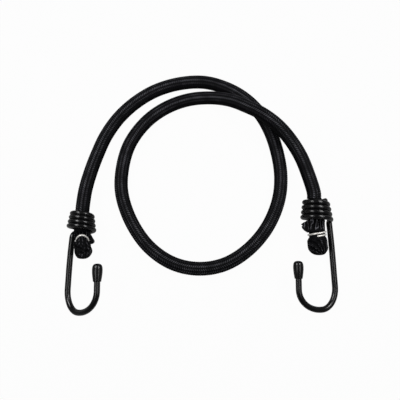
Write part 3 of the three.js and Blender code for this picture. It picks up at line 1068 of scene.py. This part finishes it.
@dataclass
class FoldedEnd:
    """The end of the cord, turned back on itself: a neck in the coil, a waist under the ring and a fold.

    The two runs of the folded cord part by the share parting, from opens past the ring's band to closes
    past the pole. A painted highlight lies where the creases stand out and painted shade where they sink:
    the braid is lighter than plain_light by lightened for each millimetre, within the span light, and
    painted shade darkens it towards the pole down to pole_light.
    """

    lay: EndLay
    creases: Creases
    waist: float
    tilt: float
    fold_width: float
    fold_length: float
    ring_start: float
    fit: float = 0.5
    neck_width: float = 11.4
    waist_width: float = 9.2
    waist_depth: float = 12.0
    fold_depth: float = 14.0
    blunt: float = 0.8
    shoulder: float = 0.35
    fuller: float = 0.06
    sag: float = 0.0
    cord_sway: float = 0.6
    gripped: float = 0.78
    step_in: float = 1.0
    widest: float = 0.5
    rounded: float = 0.502
    closing: float = 0.01
    sharp_pole: Pair = (-3.0, -1.0)
    pole_fade: Pair = (0.6, 2.5)
    parting: float = 0.3
    opens: Pair = (-0.6, 2.0)
    closes: Pair = (-5.5, -1.5)
    flattened: float = 0.8
    plain_light: float = 0.6
    lightened: float = 2.6
    light: Pair = (0.1, 1.3)
    pole_light: float = 0.55
    lean_reach: float = 4.0
    band_margin: float = 0.05
    ring_wire: float = 1.25
    ring_sunk: float = 0.15
    ring_spread: float = 1.7
    ring_turn: float = 455.0
    ring_lean: float = 0.0
    ring_rings: int = 190
    ring_sides: int = 18
    under: float = 0.35
    around: int = 180
    upper_rows: int = 8
    lower_rows: int = 24
    step: float = 0.24
    easing: float = 1.0
    braid: Braid = Braid(columns=20, pitch_mm=1.35, height_mm=0.16)

    @property
    def band(self) -> float:
        """Half width of the flat band that the ring lies on."""
        return (self.ring_spread + self.ring_wire) / 2 + self.band_margin

    @property
    def top(self) -> float:
        """Where the fold starts, under the band."""
        return self.waist + self.band

    @property
    def pole(self) -> float:
        """Where the fold ends."""
        return self.waist + self.fold_length

    def sections(self) -> np.ndarray:
        """Works out the oval sections, down to the fold's pole.

        Returns:
            Rows of place, shift, half width, half depth, tilt and sway.
        """
        wire, coil, sway = self.lay.coil_wire / 2, self.lay.coil_length, self.lay.sway
        cord = self.lay.cord_radius - self.under
        grip = self.lay.cord_radius + self.lay.clearance - self.fit
        middle = grip + self.lay.growth * self.lay.turns / 3
        neck, waist, deep = self.neck_width / 2, self.waist_width / 2, self.waist_depth / 2
        upper = [
            (self.lay.seat, 0, cord, cord, 0, sway.cord),
            (-coil - wire, 0, cord, cord, 0, sway.cord),
            (-coil, 0, cord, cord, 0, sway.cord * self.cord_sway),
            (-coil * self.gripped, 0, grip, grip, 0, 0),
            (-coil / 2, 0, middle, middle, 0, 0),
            (-coil / 5, 0, middle, middle, 0, sway.neck / 3),
            (wire, 0, neck, neck, self.tilt / 3, sway.neck),
            (self.waist, -self.band - self.step_in, neck, deep, self.tilt, sway.neck),
            (self.waist, -self.band, waist, deep, self.tilt, sway.waist),
            (self.waist, self.band, waist, deep, self.tilt, sway.waist),
        ]
        down = self.fold_length * self.widest
        part = np.arange(1, self.upper_rows + 1) / self.upper_rows
        ease = np.sin(part * math.pi / 2) ** self.shoulder
        full = self.fold_width * (1 + self.fuller * (1 - part))
        shoulders = [
            self.waist + down * part,
            self.band * (1 - part),
            (self.waist_width + (full - self.waist_width) * ease) / 2,
            (self.waist_depth + (self.fold_depth - self.waist_depth) * ease) / 2,
            self.tilt * (1 - part),
            sway.waist + (sway.fold - sway.waist) * part,
        ]
        angle = np.linspace(0, math.pi / 2, self.lower_rows)[1:]
        shrunk = np.abs(np.cos(angle)) ** self.blunt
        bottom = [
            self.waist + down + self.fold_length * self.rounded * np.sin(angle) ** self.blunt,
            0 * angle,
            self.fold_width / 2 * shrunk + self.closing,
            self.fold_depth / 2 * shrunk + self.closing,
            0 * angle,
            sway.fold + self.sag * np.sin(angle) ** 2,
        ]
        return np.vstack([upper, np.stack(shoulders, axis=-1), np.stack(bottom, axis=-1)])

    def smooth_sections(self) -> tuple[np.ndarray, np.ndarray]:
        """Works out sections at even steps down the surface, with their corners eased by a running mean.

        Returns:
            The sections, and their distance down the surface.
        """
        rows = self.sections()
        run = travel(np.stack([rows[:, 0] + rows[:, 1], rows[:, 2]], axis=-1))
        at = np.linspace(0, run[-1], int(run[-1] / self.step))
        fine = np.stack([np.interp(at, run, column) for column in rows.T], axis=-1)
        half = int(self.easing / self.step / 2)
        padded = np.vstack([fine[:1]] * half + [fine] + [fine[-1:]] * half)
        total = np.vstack([0 * fine[:1], np.cumsum(padded, axis=0)])
        eased = (total[2 * half + 1 :] - total[: -2 * half - 1]) / (2 * half + 1)
        near_pole = ramp(at - at[-1], *self.sharp_pole)[:, None]
        return fine * near_pole + eased * (1 - near_pole), at

    def lobes(self, angles: np.ndarray, place: np.ndarray) -> np.ndarray:
        """Works out the outline of the two runs of the folded cord, in each oval's own scale.

        It is two ellipses, one above the other at a distance c from the middle and 1 - c high: the ray at
        an angle leaves them at the larger root r of a r^2 + b r + (c / (1 - c))^2 - 1 = 0, and they part in
        a crease along the sides.

        Args:
            angles: Angles round the end.
            place: Distance towards the hook.

        Returns:
            Radius for each pair of angle and place.
        """
        c = self.parting * ramp(place - self.top, *self.opens) * (1 - ramp(place - self.pole, *self.closes))
        flat = 1 / (1 - c) ** 2
        rise = np.abs(np.sin(angles))
        a = np.cos(angles) ** 2 + rise**2 * flat
        b = -2 * c * rise * flat
        return (-b + np.sqrt(b**2 - 4 * a * (c**2 * flat - 1))) / (2 * a)

    def tilted(self, x: np.ndarray, y: np.ndarray, z: tuple, tilt: np.ndarray) -> np.ndarray:
        """Turns sections about their X by their tilt, and lays them in their place on the floor.

        Args:
            x: Distance to the right.
            y: Height over the middle, in the section.
            z: Place of the section, its shift square to itself, and how far it leans back.
            tilt: Tilt in radians.

        Returns:
            Points on the floor.
        """
        place, shift, aslant = z
        rise = y * np.cos(tilt) + shift * np.sin(tilt)
        along = place - y * np.sin(tilt) + shift * np.cos(tilt) - aslant
        return self.lay.placed(np.stack([x, rise, along], axis=-1))

    def build(self, finish: bpy.types.Material) -> bpy.types.Object:
        """Makes the folded end: ovals of two lobes, with the creases and the braid standing out of them.

        Args:
            finish: Material of the braid.

        Returns:
            The folded end.
        """
        rows, run = self.smooth_sections()
        place, shift, width, depth, tilt, sway = (rows[:, i : i + 1] for i in range(6))
        angles, tilt = spread(self.around)[None, :], np.radians(tilt)
        leaning = place - np.sin(angles) * depth * np.sin(tilt)
        fade = ramp(width, *self.pole_fade)
        creased = self.creases.height(self, angles, leaning) * fade
        crown = self.braid.crown(angles, run[:, None])
        band = 1 - self.flattened * hump(leaning, self.waist, self.band)
        out = creased + self.braid.relief(crown) * fade * band
        lobes = self.lobes(angles, place)
        x = (width * lobes + out) * np.cos(angles)
        y = (depth * lobes + out) * np.sin(angles)
        aslant = self.ring_lean * x * hump(place + shift, self.waist, self.lean_reach)
        points = self.tilted(x + sway, y, (place, shift, aslant), tilt)
        fold = piece_of(f"{self.lay.side.value}_fold", [points])
        # Painted highlight on the crease ridges, painted shade in the creases and towards the pole.
        light = np.clip(self.plain_light + self.lightened * creased, *self.light)
        light = light * (self.pole_light + (1 - self.pole_light) * fade)
        keep_value(fold, "crown", np.clip(crown * light, 0, 1))
        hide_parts(f"{self.lay.side.value}_cord_end")
        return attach(dressed(fold, finish), self.lay.body)

    def build_ring(self, finish: bpy.types.Material) -> bpy.types.Object:
        """Makes the crimp ring: a wire wound once and a quarter round the waist, its ends side by side.

        Args:
            finish: Material of the wire.

        Returns:
            The ring.
        """
        part = np.linspace(0, 1, self.ring_rings)
        angle = np.radians(self.ring_start - self.ring_turn * part)
        clear = self.ring_wire / 2 - self.ring_sunk
        tilt = math.radians(self.tilt)
        x = (self.waist_width / 2 + clear) * np.cos(angle)
        y = (self.waist_depth / 2 + clear) * np.sin(angle)
        shift = self.ring_spread * (0.5 - part)
        path = self.tilted(x + self.lay.sway.waist, y, (self.waist, shift, self.ring_lean * x), tilt)
        ends = self.lay.placed(np.array([[0.0, 0.0, 0.0], [0.0, math.sin(tilt), math.cos(tilt)]]))
        thick = np.full(self.ring_rings, self.ring_wire / 2)
        rings = round_wire(path, ends[1] - ends[0], thick, self.ring_sides)
        ring = piece_of(f"{self.lay.side.value}_ring", [rings], sharp=WIRE_SHARP)
        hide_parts(f"{self.lay.side.value}_crimp_ring")
        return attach(dressed(ring, finish), self.lay.body)


@dataclass
class TailFan:
    """Cut tail of the right end: the flattened sleeve, spread and pleated in front of the neck.

    The sheet follows bends, a curve round the neck. Its edges are given for its height, from 0 at the foot
    to 1 at the top: the left one by its distance to the right, the right one by how far it stops short of
    the curve's end. wander, ripple and drift make the pleats uneven. The yarns carry painted highlights on
    the flanks of the pleats and on their crests, and painted shade towards the foot and the top.
    """

    lay: EndLay
    foot: float = 10.6
    top: float = 1.0
    pleat: float = 2.9
    depth: float = 0.85
    half_thick: float = 0.45
    keep: float = 0.68
    bends: tuple[Pair, ...] = (
        (-13.8, 2.6), (-9.5, 3.5), (-7, 4.2), (-5, 5), (-2.8, 5.8), (-0.8, 5.9), (1.2, 5.4), (2.9, 4.3),
        (4.1, 2.4),
    )
    left_edge: tuple[Pair, ...] = (
        (0, -8.4), (0.15, -10.4), (0.3, -11.6), (0.4, -12.0), (0.47, -12.0), (0.52, -11.3), (0.62, -12.5),
        (0.74, -10.9), (0.93, -7.6), (1, -6.4),
    )
    right_edge: tuple[Pair, ...] = ((0, 1.2), (0.6, 0.0), (0.85, 0.4), (1, 1.6))
    rises: Pair = (0.05, 0.6)
    shallow: float = 0.35
    deepens: Pair = (4.0, 7.0)
    wander: Triple = (1.5, 2.6, 0.75)
    ripple: Pair = (0.6, 1.7)
    drift: float = 1.4
    top_wave: float = 0.3
    side_rounding: float = 14.0
    end_rounding: float = 9.0
    foot_margin: float = 0.02
    least_thick: float = 0.01
    yarn_pitch: float = 0.65
    yarn_lean: float = 2.0
    yarn_rows: int = 7
    yarn_powers: Pair = (0.7, 0.5)
    yarn_height: float = 0.1
    # Painted light and shade of the yarns and pleats, read by light below.
    yarn_light: Pair = (0.7, 0.4)
    least_light: float = 0.06
    flank_light: Triple = (1.1, 0.4, 0.28)
    crest_light: Triple = (0.3, 0.5, 0.95)
    top_shade: Triple = (0.75, 0.72, 1.0)
    foot_shade: Pair = (0.02, 0.16)
    per_bend: int = 24
    rows: int = 60
    columns: int = 170

    def light(self, crest: np.ndarray, thread: np.ndarray, v: np.ndarray) -> np.ndarray:
        """Works out the painted light of the yarns: a bell of highlight on the pleats' flanks and a step to
        their crests.

        Args:
            crest: How far each point is up its pleat.
            thread: How high each point stands on its yarn.
            v: Height over the foot.

        Returns:
            Light for each point.
        """
        # Painted highlights on the pleats' flanks and crests, fading towards the top, and painted shade
        # towards the foot.
        crest = crest * (1 - self.top_shade[0] * ramp(v, *self.top_shade[1:]))
        flanks = self.flank_light[0] * hump(crest, *self.flank_light[1:])
        crests = self.crest_light[0] * ramp(crest, *self.crest_light[1:])
        plain, more = self.yarn_light
        yarns = np.clip(plain + more * thread, 0, 1) * ramp(v, *self.foot_shade)
        return yarns * (self.least_light + flanks + crests)

    def build(self, finish: bpy.types.Material) -> bpy.types.Object:
        """Makes a thin closed sheet, waved by cos(2 pi q / pleat) more and more to its top.

        q is the distance along the curve round the neck, v the height over the foot and u the share of the
        way from the left edge to the right one. The sheet's thickness is rounded off at its edges.

        Args:
            finish: Material of the braid.

        Returns:
            The fan.
        """
        bends, left, right = np.array(self.bends), np.array(self.left_edge).T, np.array(self.right_edge).T
        line = catmull_rom(bends, self.per_bend)
        length = travel(line)
        u, v = np.linspace(0, 1, self.columns)[None, :], np.linspace(0, 1, self.rows)[:, None]
        start = np.interp(np.interp(v, *left), line[:, 0], length)
        q = start + (length[-1] - np.interp(v, *right) - start) * u
        across = unit(np.gradient(line, axis=0)) @ np.array([[0.0, 1.0], [-1.0, 0.0]])
        at_x, at_y, out_x, out_y = (np.interp(q, length, column) for column in np.hstack([line, across]).T)
        strength = ramp(v, *self.rises) * (self.shallow + (1 - self.shallow) * ramp(q, *self.deepens))
        wander = self.wander[0] * np.sin(self.wander[1] * v + self.wander[2] * q)
        ripple = self.ripple[0] * np.sin(self.ripple[1] * q)
        phase = TURN * q / self.pleat + wander + ripple - self.drift * v
        edge_u = np.minimum(u, 1 - u) * self.side_rounding
        edge_v = np.minimum(v + self.foot_margin, 1 - v) * self.end_rounding
        edge = np.sqrt(np.clip(edge_u, self.least_thick, 1)) * np.sqrt(np.clip(edge_v, self.least_thick, 1))
        across_yarn, along_yarn = self.yarn_powers
        thread = np.abs(np.sin(math.pi * q / self.yarn_pitch + self.yarn_lean * v)) ** across_yarn
        thread = thread * np.abs(np.sin(math.pi * v * self.yarn_rows)) ** along_yarn
        wave = self.depth * strength * np.cos(phase)
        outer = wave + (self.half_thick + self.yarn_height * thread) * edge
        inner = wave - self.half_thick * edge
        z = self.foot + (self.top - self.foot) * v + self.top_wave * strength * np.sin(phase)
        front, back = (np.stack([at_x + out_x * n, at_y + out_y * n, z], axis=-1) for n in (outer, inner))
        sheet = np.concatenate([front, back[:, ::-1]], axis=1)[:, ::-1]
        fan = piece_of("right_tail", [self.lay.placed(sheet)])
        # The fan's crown attribute holds its painted light and shade.
        light = self.light(np.cos(phase) * strength, thread, v)
        keep_value(fan, "crown", np.concatenate([light, light[:, ::-1]], axis=1)[:, ::-1])
        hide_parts("right_cord_end")
        dressed(fan, finish)
        foot, beyond = self.lay.placed(np.array([[0.0, 0.0, self.foot], [0.0, 0.0, self.foot + 1]]))
        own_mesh(fan)
        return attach(fan, self.lay.body)


@dataclass
class TailStub:
    """Cut tail of the left end: a short round end of cord that stands out behind the neck."""

    lay: EndLay
    radius: float = 2.0
    root: Triple = (5.0, -4.0, 3.7)
    reach: float = 5.85
    lean: float = 58.0
    buried: float = 1.6
    dome: float = 1.85
    dome_power: float = 2.2
    least: float = 0.0004
    pleats: int = 6
    pleat_depth: float = 0.14
    pleat_span: Pair = (1.0, 4.0)
    # Painted light of the pleats: plain level and gain for each millimetre of pleat, and the most it
    # reaches.
    light: Pair = (0.9, 5.0)
    lightest: float = 1.6
    rings: int = 60
    sides: int = 72
    braid: Braid = Braid(columns=8, pitch_mm=1.2, height_mm=0.16)

    def build(self, finish: bpy.types.Material) -> bpy.types.Object:
        """Makes a tube along the tail whose radius is drawn in where it was cut, with soft pleats that carry
        a painted highlight on their crests and painted shade between them.

        Args:
            finish: Material of the braid.

        Returns:
            The stub.
        """
        run = np.linspace(-self.buried, self.reach, self.rings)
        lean = math.radians(self.lean)
        path = np.array(self.root) + run[:, None] * np.array([math.cos(lean), 0.0, math.sin(lean)])
        angles = spread(self.sides)
        over = np.clip((run - self.reach + self.dome) / self.dome, 0, 1)[:, None]
        drawn_in = np.sqrt(np.clip(1 - over**self.dome_power, self.least, 1))
        crown = self.braid.crown(angles[None, :], run[:, None])
        pleats = np.cos(self.pleats * angles)[None, :] * ramp(run, *self.pleat_span)[:, None]
        pleats = self.pleat_depth * pleats
        radius = drawn_in * (self.radius + pleats + self.braid.relief(crown))
        rings = carried(path, np.array([0.0, 1.0, 0.0]), radius, angles)
        stub = piece_of("left_tail", [self.lay.placed(rings)])
        # Painted highlight on the pleats' crests and painted shade between them.
        plain, more = self.light
        keep_value(stub, "crown", crown * np.clip(plain + more * pleats, 0, self.lightest))
        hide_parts("left_cord_end")
        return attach(dressed(stub, finish), self.lay.body)


@dataclass
class CordRun:
    """The free cord from coil to coil: a braided sleeve over rubber strands, in four stretches.

    The two stretches of the loop hang on the cord's body, and the stretch at each end stays where it is
    made.
    The braid is turned by half a column at its start, and untwists over the distance twisted. The route
    repeats the points of the part's source, at the height of the cord's underside, and the object's middle
    lies at middle among them.
    """

    left: FoldedEnd
    right: FoldedEnd
    radius: float = 5.0
    wall: float = 0.6
    clearance: float = 0.28
    strand_gap: float = 0.25
    inner: int = 3
    outer: int = 9
    left_leg: float = 128.0
    right_leg: float = 112.0
    seated: float = 2.0
    step: float = 0.27
    per_span: int = 60
    per_column: int = 8
    strand_sides: int = 10
    strand_step: int = 14
    path_step: int = 8
    twisted: Pair = (60.0, 330.0)
    # Painted shade down the cord's sides: the share of light left underneath, and where the cosine of the
    # angle from the top gives full light.
    shaded: float = 0.2
    lit: Pair = (0.1, 0.9)
    middle: Pair = (-0.41, 1.02)
    braid: Braid = Braid(mean=0.55)
    route: tuple[Triple, ...] = (
        (-85.5, 48, 6.3), (-82.5, 62, 5.4), (-78.5, 76, 4), (-73, 91, 2.4), (-64, 106, 1.1),
        (-51.5, 119, 0.2), (-36, 129, 0), (-17, 135, 0), (2, 136, 0), (18, 131.5, 0), (32, 123.5, 0),
        (43.5, 112, 0), (51.5, 98, 0), (57, 80.5, 0), (59.5, 60, 0), (57, 41, 0), (48, 21, 0),
        (33.5, 4.5, 0), (16, -6, 0), (-3, -9, 0), (-21.5, -5, 0), (-39, 7, 0), (-52.5, 26, 0),
        (-60, 47.5, 0), (-60, 66.5, 0), (-55, 85.5, 0), (-43, 103, 0), (-28, 114.5, 0.1), (-11, 121, 0.5),
        (6.5, 122, 2.2), (21.5, 118.5, 5.8), (34, 112, 9.2), (45, 105.5, 10.9), (56, 96.5, 11.3),
        (65, 85.5, 11.1), (72.5, 72.5, 10.6), (77.5, 59.3, 9.7),
    )

    def line(self) -> tuple[np.ndarray, np.ndarray]:
        """Works out the cord's middle line at even steps.

        Returns:
            Points of the line, and their distance along it.
        """
        left, right = (
            lay.placed(np.array([[lay.sway.cord, 0, lay.seat + z] for z in (self.seated, -self.seated)]))
            for lay in (self.left.lay, self.right.lay)
        )
        lying = np.array(self.route, float) - [*self.middle, -self.radius]
        curve = catmull_rom(np.vstack([left, lying, right[::-1]]), self.per_span)
        curve[:, 2] = np.maximum(curve[:, 2], self.radius)
        along = travel(curve)
        at = np.linspace(0, along[-1], int(along[-1] / self.step))
        return np.stack([np.interp(at, along, column) for column in curve.T], axis=-1), at

    def strand_offsets(self) -> tuple[np.ndarray, float]:
        """Works out the strands' section: nine against the sleeve, three inside them, with gaps between.

        Returns:
            Places of the strands, and their radius.
        """
        sine = math.sin(math.pi / self.outer)
        reach = self.radius - self.wall - self.clearance
        radius = (reach * sine - self.strand_gap / 2) / (1 + sine)
        within = (radius + self.strand_gap / 2) / math.sin(math.pi / self.inner)
        angles = np.concatenate([math.pi / self.outer + spread(self.inner), spread(self.outer)])
        away = np.repeat([within, reach - radius], [self.inner, self.outer])
        return np.stack([away * np.cos(angles), away * np.sin(angles)], axis=-1), radius

    def sleeve(
        self, name: str, path: np.ndarray, at: np.ndarray, finish: bpy.types.Material
    ) -> bpy.types.Object:
        """Makes a stretch of sleeve: a tube with the braid's relief, flat where it rests on the floor, with
        painted shade down its sides.

        Args:
            name: Name of the piece.
            path: Middle line of the stretch.
            at: Distance of its points along the whole cord.
            finish: Material of the braid.

        Returns:
            The sleeve.
        """
        angles = spread(self.braid.columns * self.per_column)
        twist = math.pi / self.braid.columns * (1 - ramp(at, *self.twisted))[:, None]
        crown = self.braid.crown(angles[None, :] + twist, at[:, None])
        tube = carried(path, UPWARDS, self.radius + self.braid.relief(crown), angles)
        tube[..., 2] = np.maximum(tube[..., 2], 0.0)
        sleeve = piece_of(name, [tube], capped=False)
        # Painted shade: the braid darkens down the cord's sides as the angle from the top grows.
        light = self.shaded + (1 - self.shaded) * ramp(np.cos(angles), *self.lit)
        keep_value(sleeve, "crown", crown * light)
        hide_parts("cord_sleeve")
        return dressed(sleeve, finish)

    def core(self, name: str, path: np.ndarray, finish: bpy.types.Material) -> bpy.types.Object:
        """Makes the strands inside a stretch of sleeve.

        Args:
            name: Name of the piece.
            path: Middle line of the stretch.
            finish: Material of the strands.

        Returns:
            The strands, as one piece.
        """
        places, radius = self.strand_offsets()
        along = unit(np.gradient(path, axis=0))
        up = unit(UPWARDS - along * along[:, 2:])
        aside = np.cross(along, up)
        kept = np.unique(np.append(np.arange(0, len(path), self.strand_step), len(path) - 1))
        thick, angles = np.full(len(kept), radius), spread(self.strand_sides)
        tubes = [carried((path + x * up + y * aside)[kept], UPWARDS, thick, angles) for x, y in places]
        core = piece_of(name, tubes)
        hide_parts(*[f"core_strand_{i + 1:02d}" for i in range(self.inner + self.outer)])
        return dressed(core, finish)

    def build(self, braid: bpy.types.Material, rubber: bpy.types.Material) -> None:
        """Makes the four stretches and hangs the two of the loop on the cord's body; the two legs stay where
        they are made.

        Args:
            braid: Material of the sleeve.
            rubber: Material of the strands.
        """
        path, at = self.line()
        total = at[-1]
        still = (self.left_leg, total - self.right_leg)
        cuts = [0.0, still[0], sum(still) / 2, still[1], total]
        marks = [int(np.argmin(np.abs(at - cut))) for cut in cuts]
        names = ["left_leg", "loop_start", "loop_end", "right_leg"]
        for name, a, b in zip(names, marks[:-1], marks[1:]):
            part, run = path[a : b + 1], at[a : b + 1]
            sleeve = self.sleeve(f"sleeve_{name}", part, run, braid)
            core = self.core(f"core_{name}", part, rubber)
            for piece in (sleeve, core):
                if name == "left_leg":
                    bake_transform(piece)
                elif name == "right_leg":
                    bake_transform(piece)
                else:
                    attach(piece, "cord")


@dataclass(frozen=True)
class SoftBox:
    """A soft box of each side: how far its direction leans up the photograph, its size and its watts."""

    name: str
    place: float
    length: float
    width: float
    power: float


@dataclass
class Studio:
    """White floor, two soft boxes overhead on each side and the photograph's camera."""

    target: Triple = (-1.0, 41.6, 0.0)
    elevation: float = 79.0
    distance: float = 325.0
    lens: float = 38.6
    sensor: float = 36.0
    clip: Pair = (0.01, 20.0)
    box_angle: float = 35.0
    box_distance: float = 392.0
    boxes: tuple[SoftBox, ...] = (
        SoftBox("far", place=0.32, length=170.0, width=128.0, power=0.96),
        SoftBox("near", place=-0.26, length=150.0, width=100.0, power=0.24),
    )
    fill: float = 0.13
    paper: str = "#909090"
    seen_white: float = 0.97
    mirrored_white: float = 0.1
    walls: float = 0.14
    ceiling: float = 0.03
    wall_start: float = 0.35
    floor_reach: float = 3000.0
    floor_drop: float = 0.02
    floor_lines: int = 5

    @staticmethod
    def rays(tree: bpy.types.NodeTree) -> tuple[bpy.types.Node, bpy.types.NodeSocket]:
        """Tells apart what a ray is for. Both results are 0 for rays that carry light.

        Args:
            tree: Node tree that takes the nodes.

        Returns:
            What is 1 for rays of the camera or through glass, and what is 1 for reflections.
        """
        path = add(tree, "ShaderNodeLightPath").outputs
        seen = {0: path["Is Camera Ray"], 1: path["Is Transmission Ray"]}
        return add(tree, "ShaderNodeMath", seen, operation="MAXIMUM"), path["Is Glossy Ray"]

    def floor(self) -> None:
        """Lays the floor: paper that is seen as white, less so in reflections, with a faint shadow."""
        made = bpy.data.materials.new("white_paper")
        made.use_nodes = True
        tree = made.node_tree
        tree.nodes.clear()
        clear, mirrored = self.rays(tree)
        direct = add(tree, "ShaderNodeMath", {0: clear, 1: self.seen_white}, operation="MULTIPLY")
        both = {0: mirrored, 1: self.mirrored_white, 2: direct}
        share = add(tree, "ShaderNodeMath", both, operation="MULTIPLY_ADD")
        paper = add(tree, "ShaderNodeBsdfDiffuse", {"Color": linear(self.paper)})
        white = add(tree, "ShaderNodeEmission", {"Strength": 1.0})
        mixed = add(tree, "ShaderNodeMixShader", {0: share, 1: paper, 2: white})
        add(tree, "ShaderNodeOutputMaterial", {"Surface": mixed})
        count = self.floor_lines
        across = np.linspace(-self.floor_reach, self.floor_reach, count)
        x, y = np.meshgrid(across, across, indexing="ij")
        points = np.stack([x, y, 0 * x - self.floor_drop], axis=-1)
        i, j = np.meshgrid(np.arange(count - 1), np.arange(count - 1), indexing="ij")
        corner = (i * count + j).ravel()
        faces = np.stack([corner, corner + count, corner + count + 1, corner + 1], axis=-1)
        mesh = bpy.data.meshes.new("floor")
        mesh.from_pydata((points.reshape(-1, 3) * MM).tolist(), [], faces.tolist())
        mesh.materials.append(made)
        floor = bpy.data.objects.new("floor", mesh)
        bpy.context.scene.collection.objects.link(floor)

    def world(self) -> None:
        """Makes the room: white to the camera, an even fill, and pale walls and a dark ceiling mirrored."""
        world = bpy.data.worlds.new("studio")
        bpy.context.scene.world = world
        world.use_nodes = True
        tree = world.node_tree
        tree.nodes.clear()
        look = add(tree, "ShaderNodeTexCoord").outputs["Generated"]
        side = add(tree, "ShaderNodeSeparateXYZ", {"Vector": look})
        wide = add(tree, "ShaderNodeMath", {0: side}, operation="ABSOLUTE")
        start = {"Value": wide, "From Min": self.wall_start, "From Max": 1.0}
        wall = add(tree, "ShaderNodeMapRange", {**start, "To Min": self.ceiling, "To Max": self.walls})
        clear, mirrored = self.rays(tree)
        seen = add(tree, "ShaderNodeMath", {0: mirrored, 1: wall, 2: clear}, operation="MULTIPLY_ADD")
        either = add(tree, "ShaderNodeMath", {0: clear, 1: mirrored}, operation="MAXIMUM")
        even = add(tree, "ShaderNodeMapRange", {"Value": either, "To Min": self.fill, "To Max": seen})
        light = add(tree, "ShaderNodeBackground", {"Color": linear("#ffffff"), "Strength": even})
        add(tree, "ShaderNodeOutputWorld", {"Surface": light})

    def lamps(self) -> None:
        """Hangs the soft boxes to the left and to the right overhead, each facing the middle."""
        angle = math.radians(self.box_angle)
        for box, (side, sign) in product(self.boxes, (("left", -1), ("right", 1))):
            lamp = bpy.data.lights.new(f"{box.name}_soft_box_{side}", "AREA")
            lamp.shape = "RECTANGLE"
            lamp.size, lamp.size_y = box.length * MM, box.width * MM
            lamp.energy = box.power
            holder = bpy.data.objects.new(lamp.name, lamp)
            back = Vector((sign * math.sin(angle), box.place, math.cos(angle))).normalized()
            along = (Vector((0, 1, 0)) - back * back.y).normalized()
            turned = Matrix((along, back.cross(along), back)).transposed()
            holder.location = Vector(self.target) * MM + back * self.box_distance * MM
            holder.rotation_mode = "QUATERNION"
            holder.rotation_quaternion = turned.to_quaternion()
            bpy.context.scene.collection.objects.link(holder)

    def camera(self) -> None:
        """Places the camera, nearly overhead and a little towards the hooks."""
        camera = bpy.data.cameras.new("photo_camera")
        camera.sensor_width = self.sensor
        camera.lens = self.lens
        camera.clip_start, camera.clip_end = self.clip
        camera.dof.use_dof = False
        rise = math.radians(self.elevation)
        back = Vector((0, -math.cos(rise), math.sin(rise)))
        holder = bpy.data.objects.new("photo_camera", camera)
        holder.location = (Vector(self.target) + back * self.distance) * MM
        holder.rotation_mode = "QUATERNION"
        holder.rotation_quaternion = back.to_track_quat("Z", "Y")
        bpy.context.scene.collection.objects.link(holder)
        bpy.context.scene.camera = holder

    def build(self) -> None:
        """Sets up the whole studio."""
        bpy.context.scene.view_settings.view_transform = "Standard"
        self.floor()
        self.world()
        self.lamps()
        self.camera()


def main() -> None:
    """Builds the studio and every piece of the cord, in order."""
    logging.basicConfig(level=logging.INFO, format="%(name)s %(message)s")
    Studio().build()
    braid = BraidedPolyester().material()
    left_lay = EndLay(
        Side.LEFT, station=(-86.83, 16.58, 10.6456), heading=-1.6, dip=3.4, hook_turn=215.0, shank=41.6,
        shank_lean=0.4, tip=18.5, coil_wire=2.8, clearance=0.6,
        sway=Sway(cord=0, neck=0.8, waist=1.4, fold=2.5),
    )
    right_lay = EndLay(
        Side.RIGHT, station=(83.6, 26.18, 12.0098), heading=1.0, dip=6.0, hook_turn=-20.0, shank=49.6,
        shank_lean=2.75, tip=19.9, coil_wire=3.1, clearance=0.9,
        sway=Sway(cord=-1.5, neck=-0.4, waist=-0.45, fold=-0.3),
    )
    left = FoldedEnd(
        left_lay, CurledCreases(), waist=7.45, tilt=41.0, fold_width=11.6, fold_length=12.35,
        waist_width=7.4, fold_depth=12.8, shoulder=0.06, sag=-0.5, ring_start=-40.0, ring_lean=0.18,
    )
    right = FoldedEnd(
        right_lay, FannedCreases(), waist=11.9, tilt=0.0, fold_width=13.4, fold_length=15.0,
        waist_width=11.2, sag=0.9, ring_start=103.0, ring_turn=473.0, ring_spread=2.7, ring_lean=0.1,
    )
    left_hook = WireHook(left_lay, throat=27.0, slant=(0.02, -0.12), squeeze=0.97, drawn=-0.6, bow=-1.0)
    right_hook = WireHook(
        right_lay, throat=26.45, drawn=1.4, swell=0.3, aside=-0.35, bow=-0.5, closed=-0.5
    )
    CordRun(left, right).build(braid, LatexRubber().material())
    zinc = GalvanisedWire().material()
    dipped = DippedSteelWire().material()
    rubber = MouldedRubber().material()
    for end, hook in ((left, left_hook), (right, right_hook)):
        end.build(braid)
        end.build_ring(zinc)
        hook.build(dipped)
        TipCap(hook).build(rubber)
    TailStub(left_lay).build(braid)
    TailFan(right_lay).build(braid)


if __name__ == "__main__":
    main()
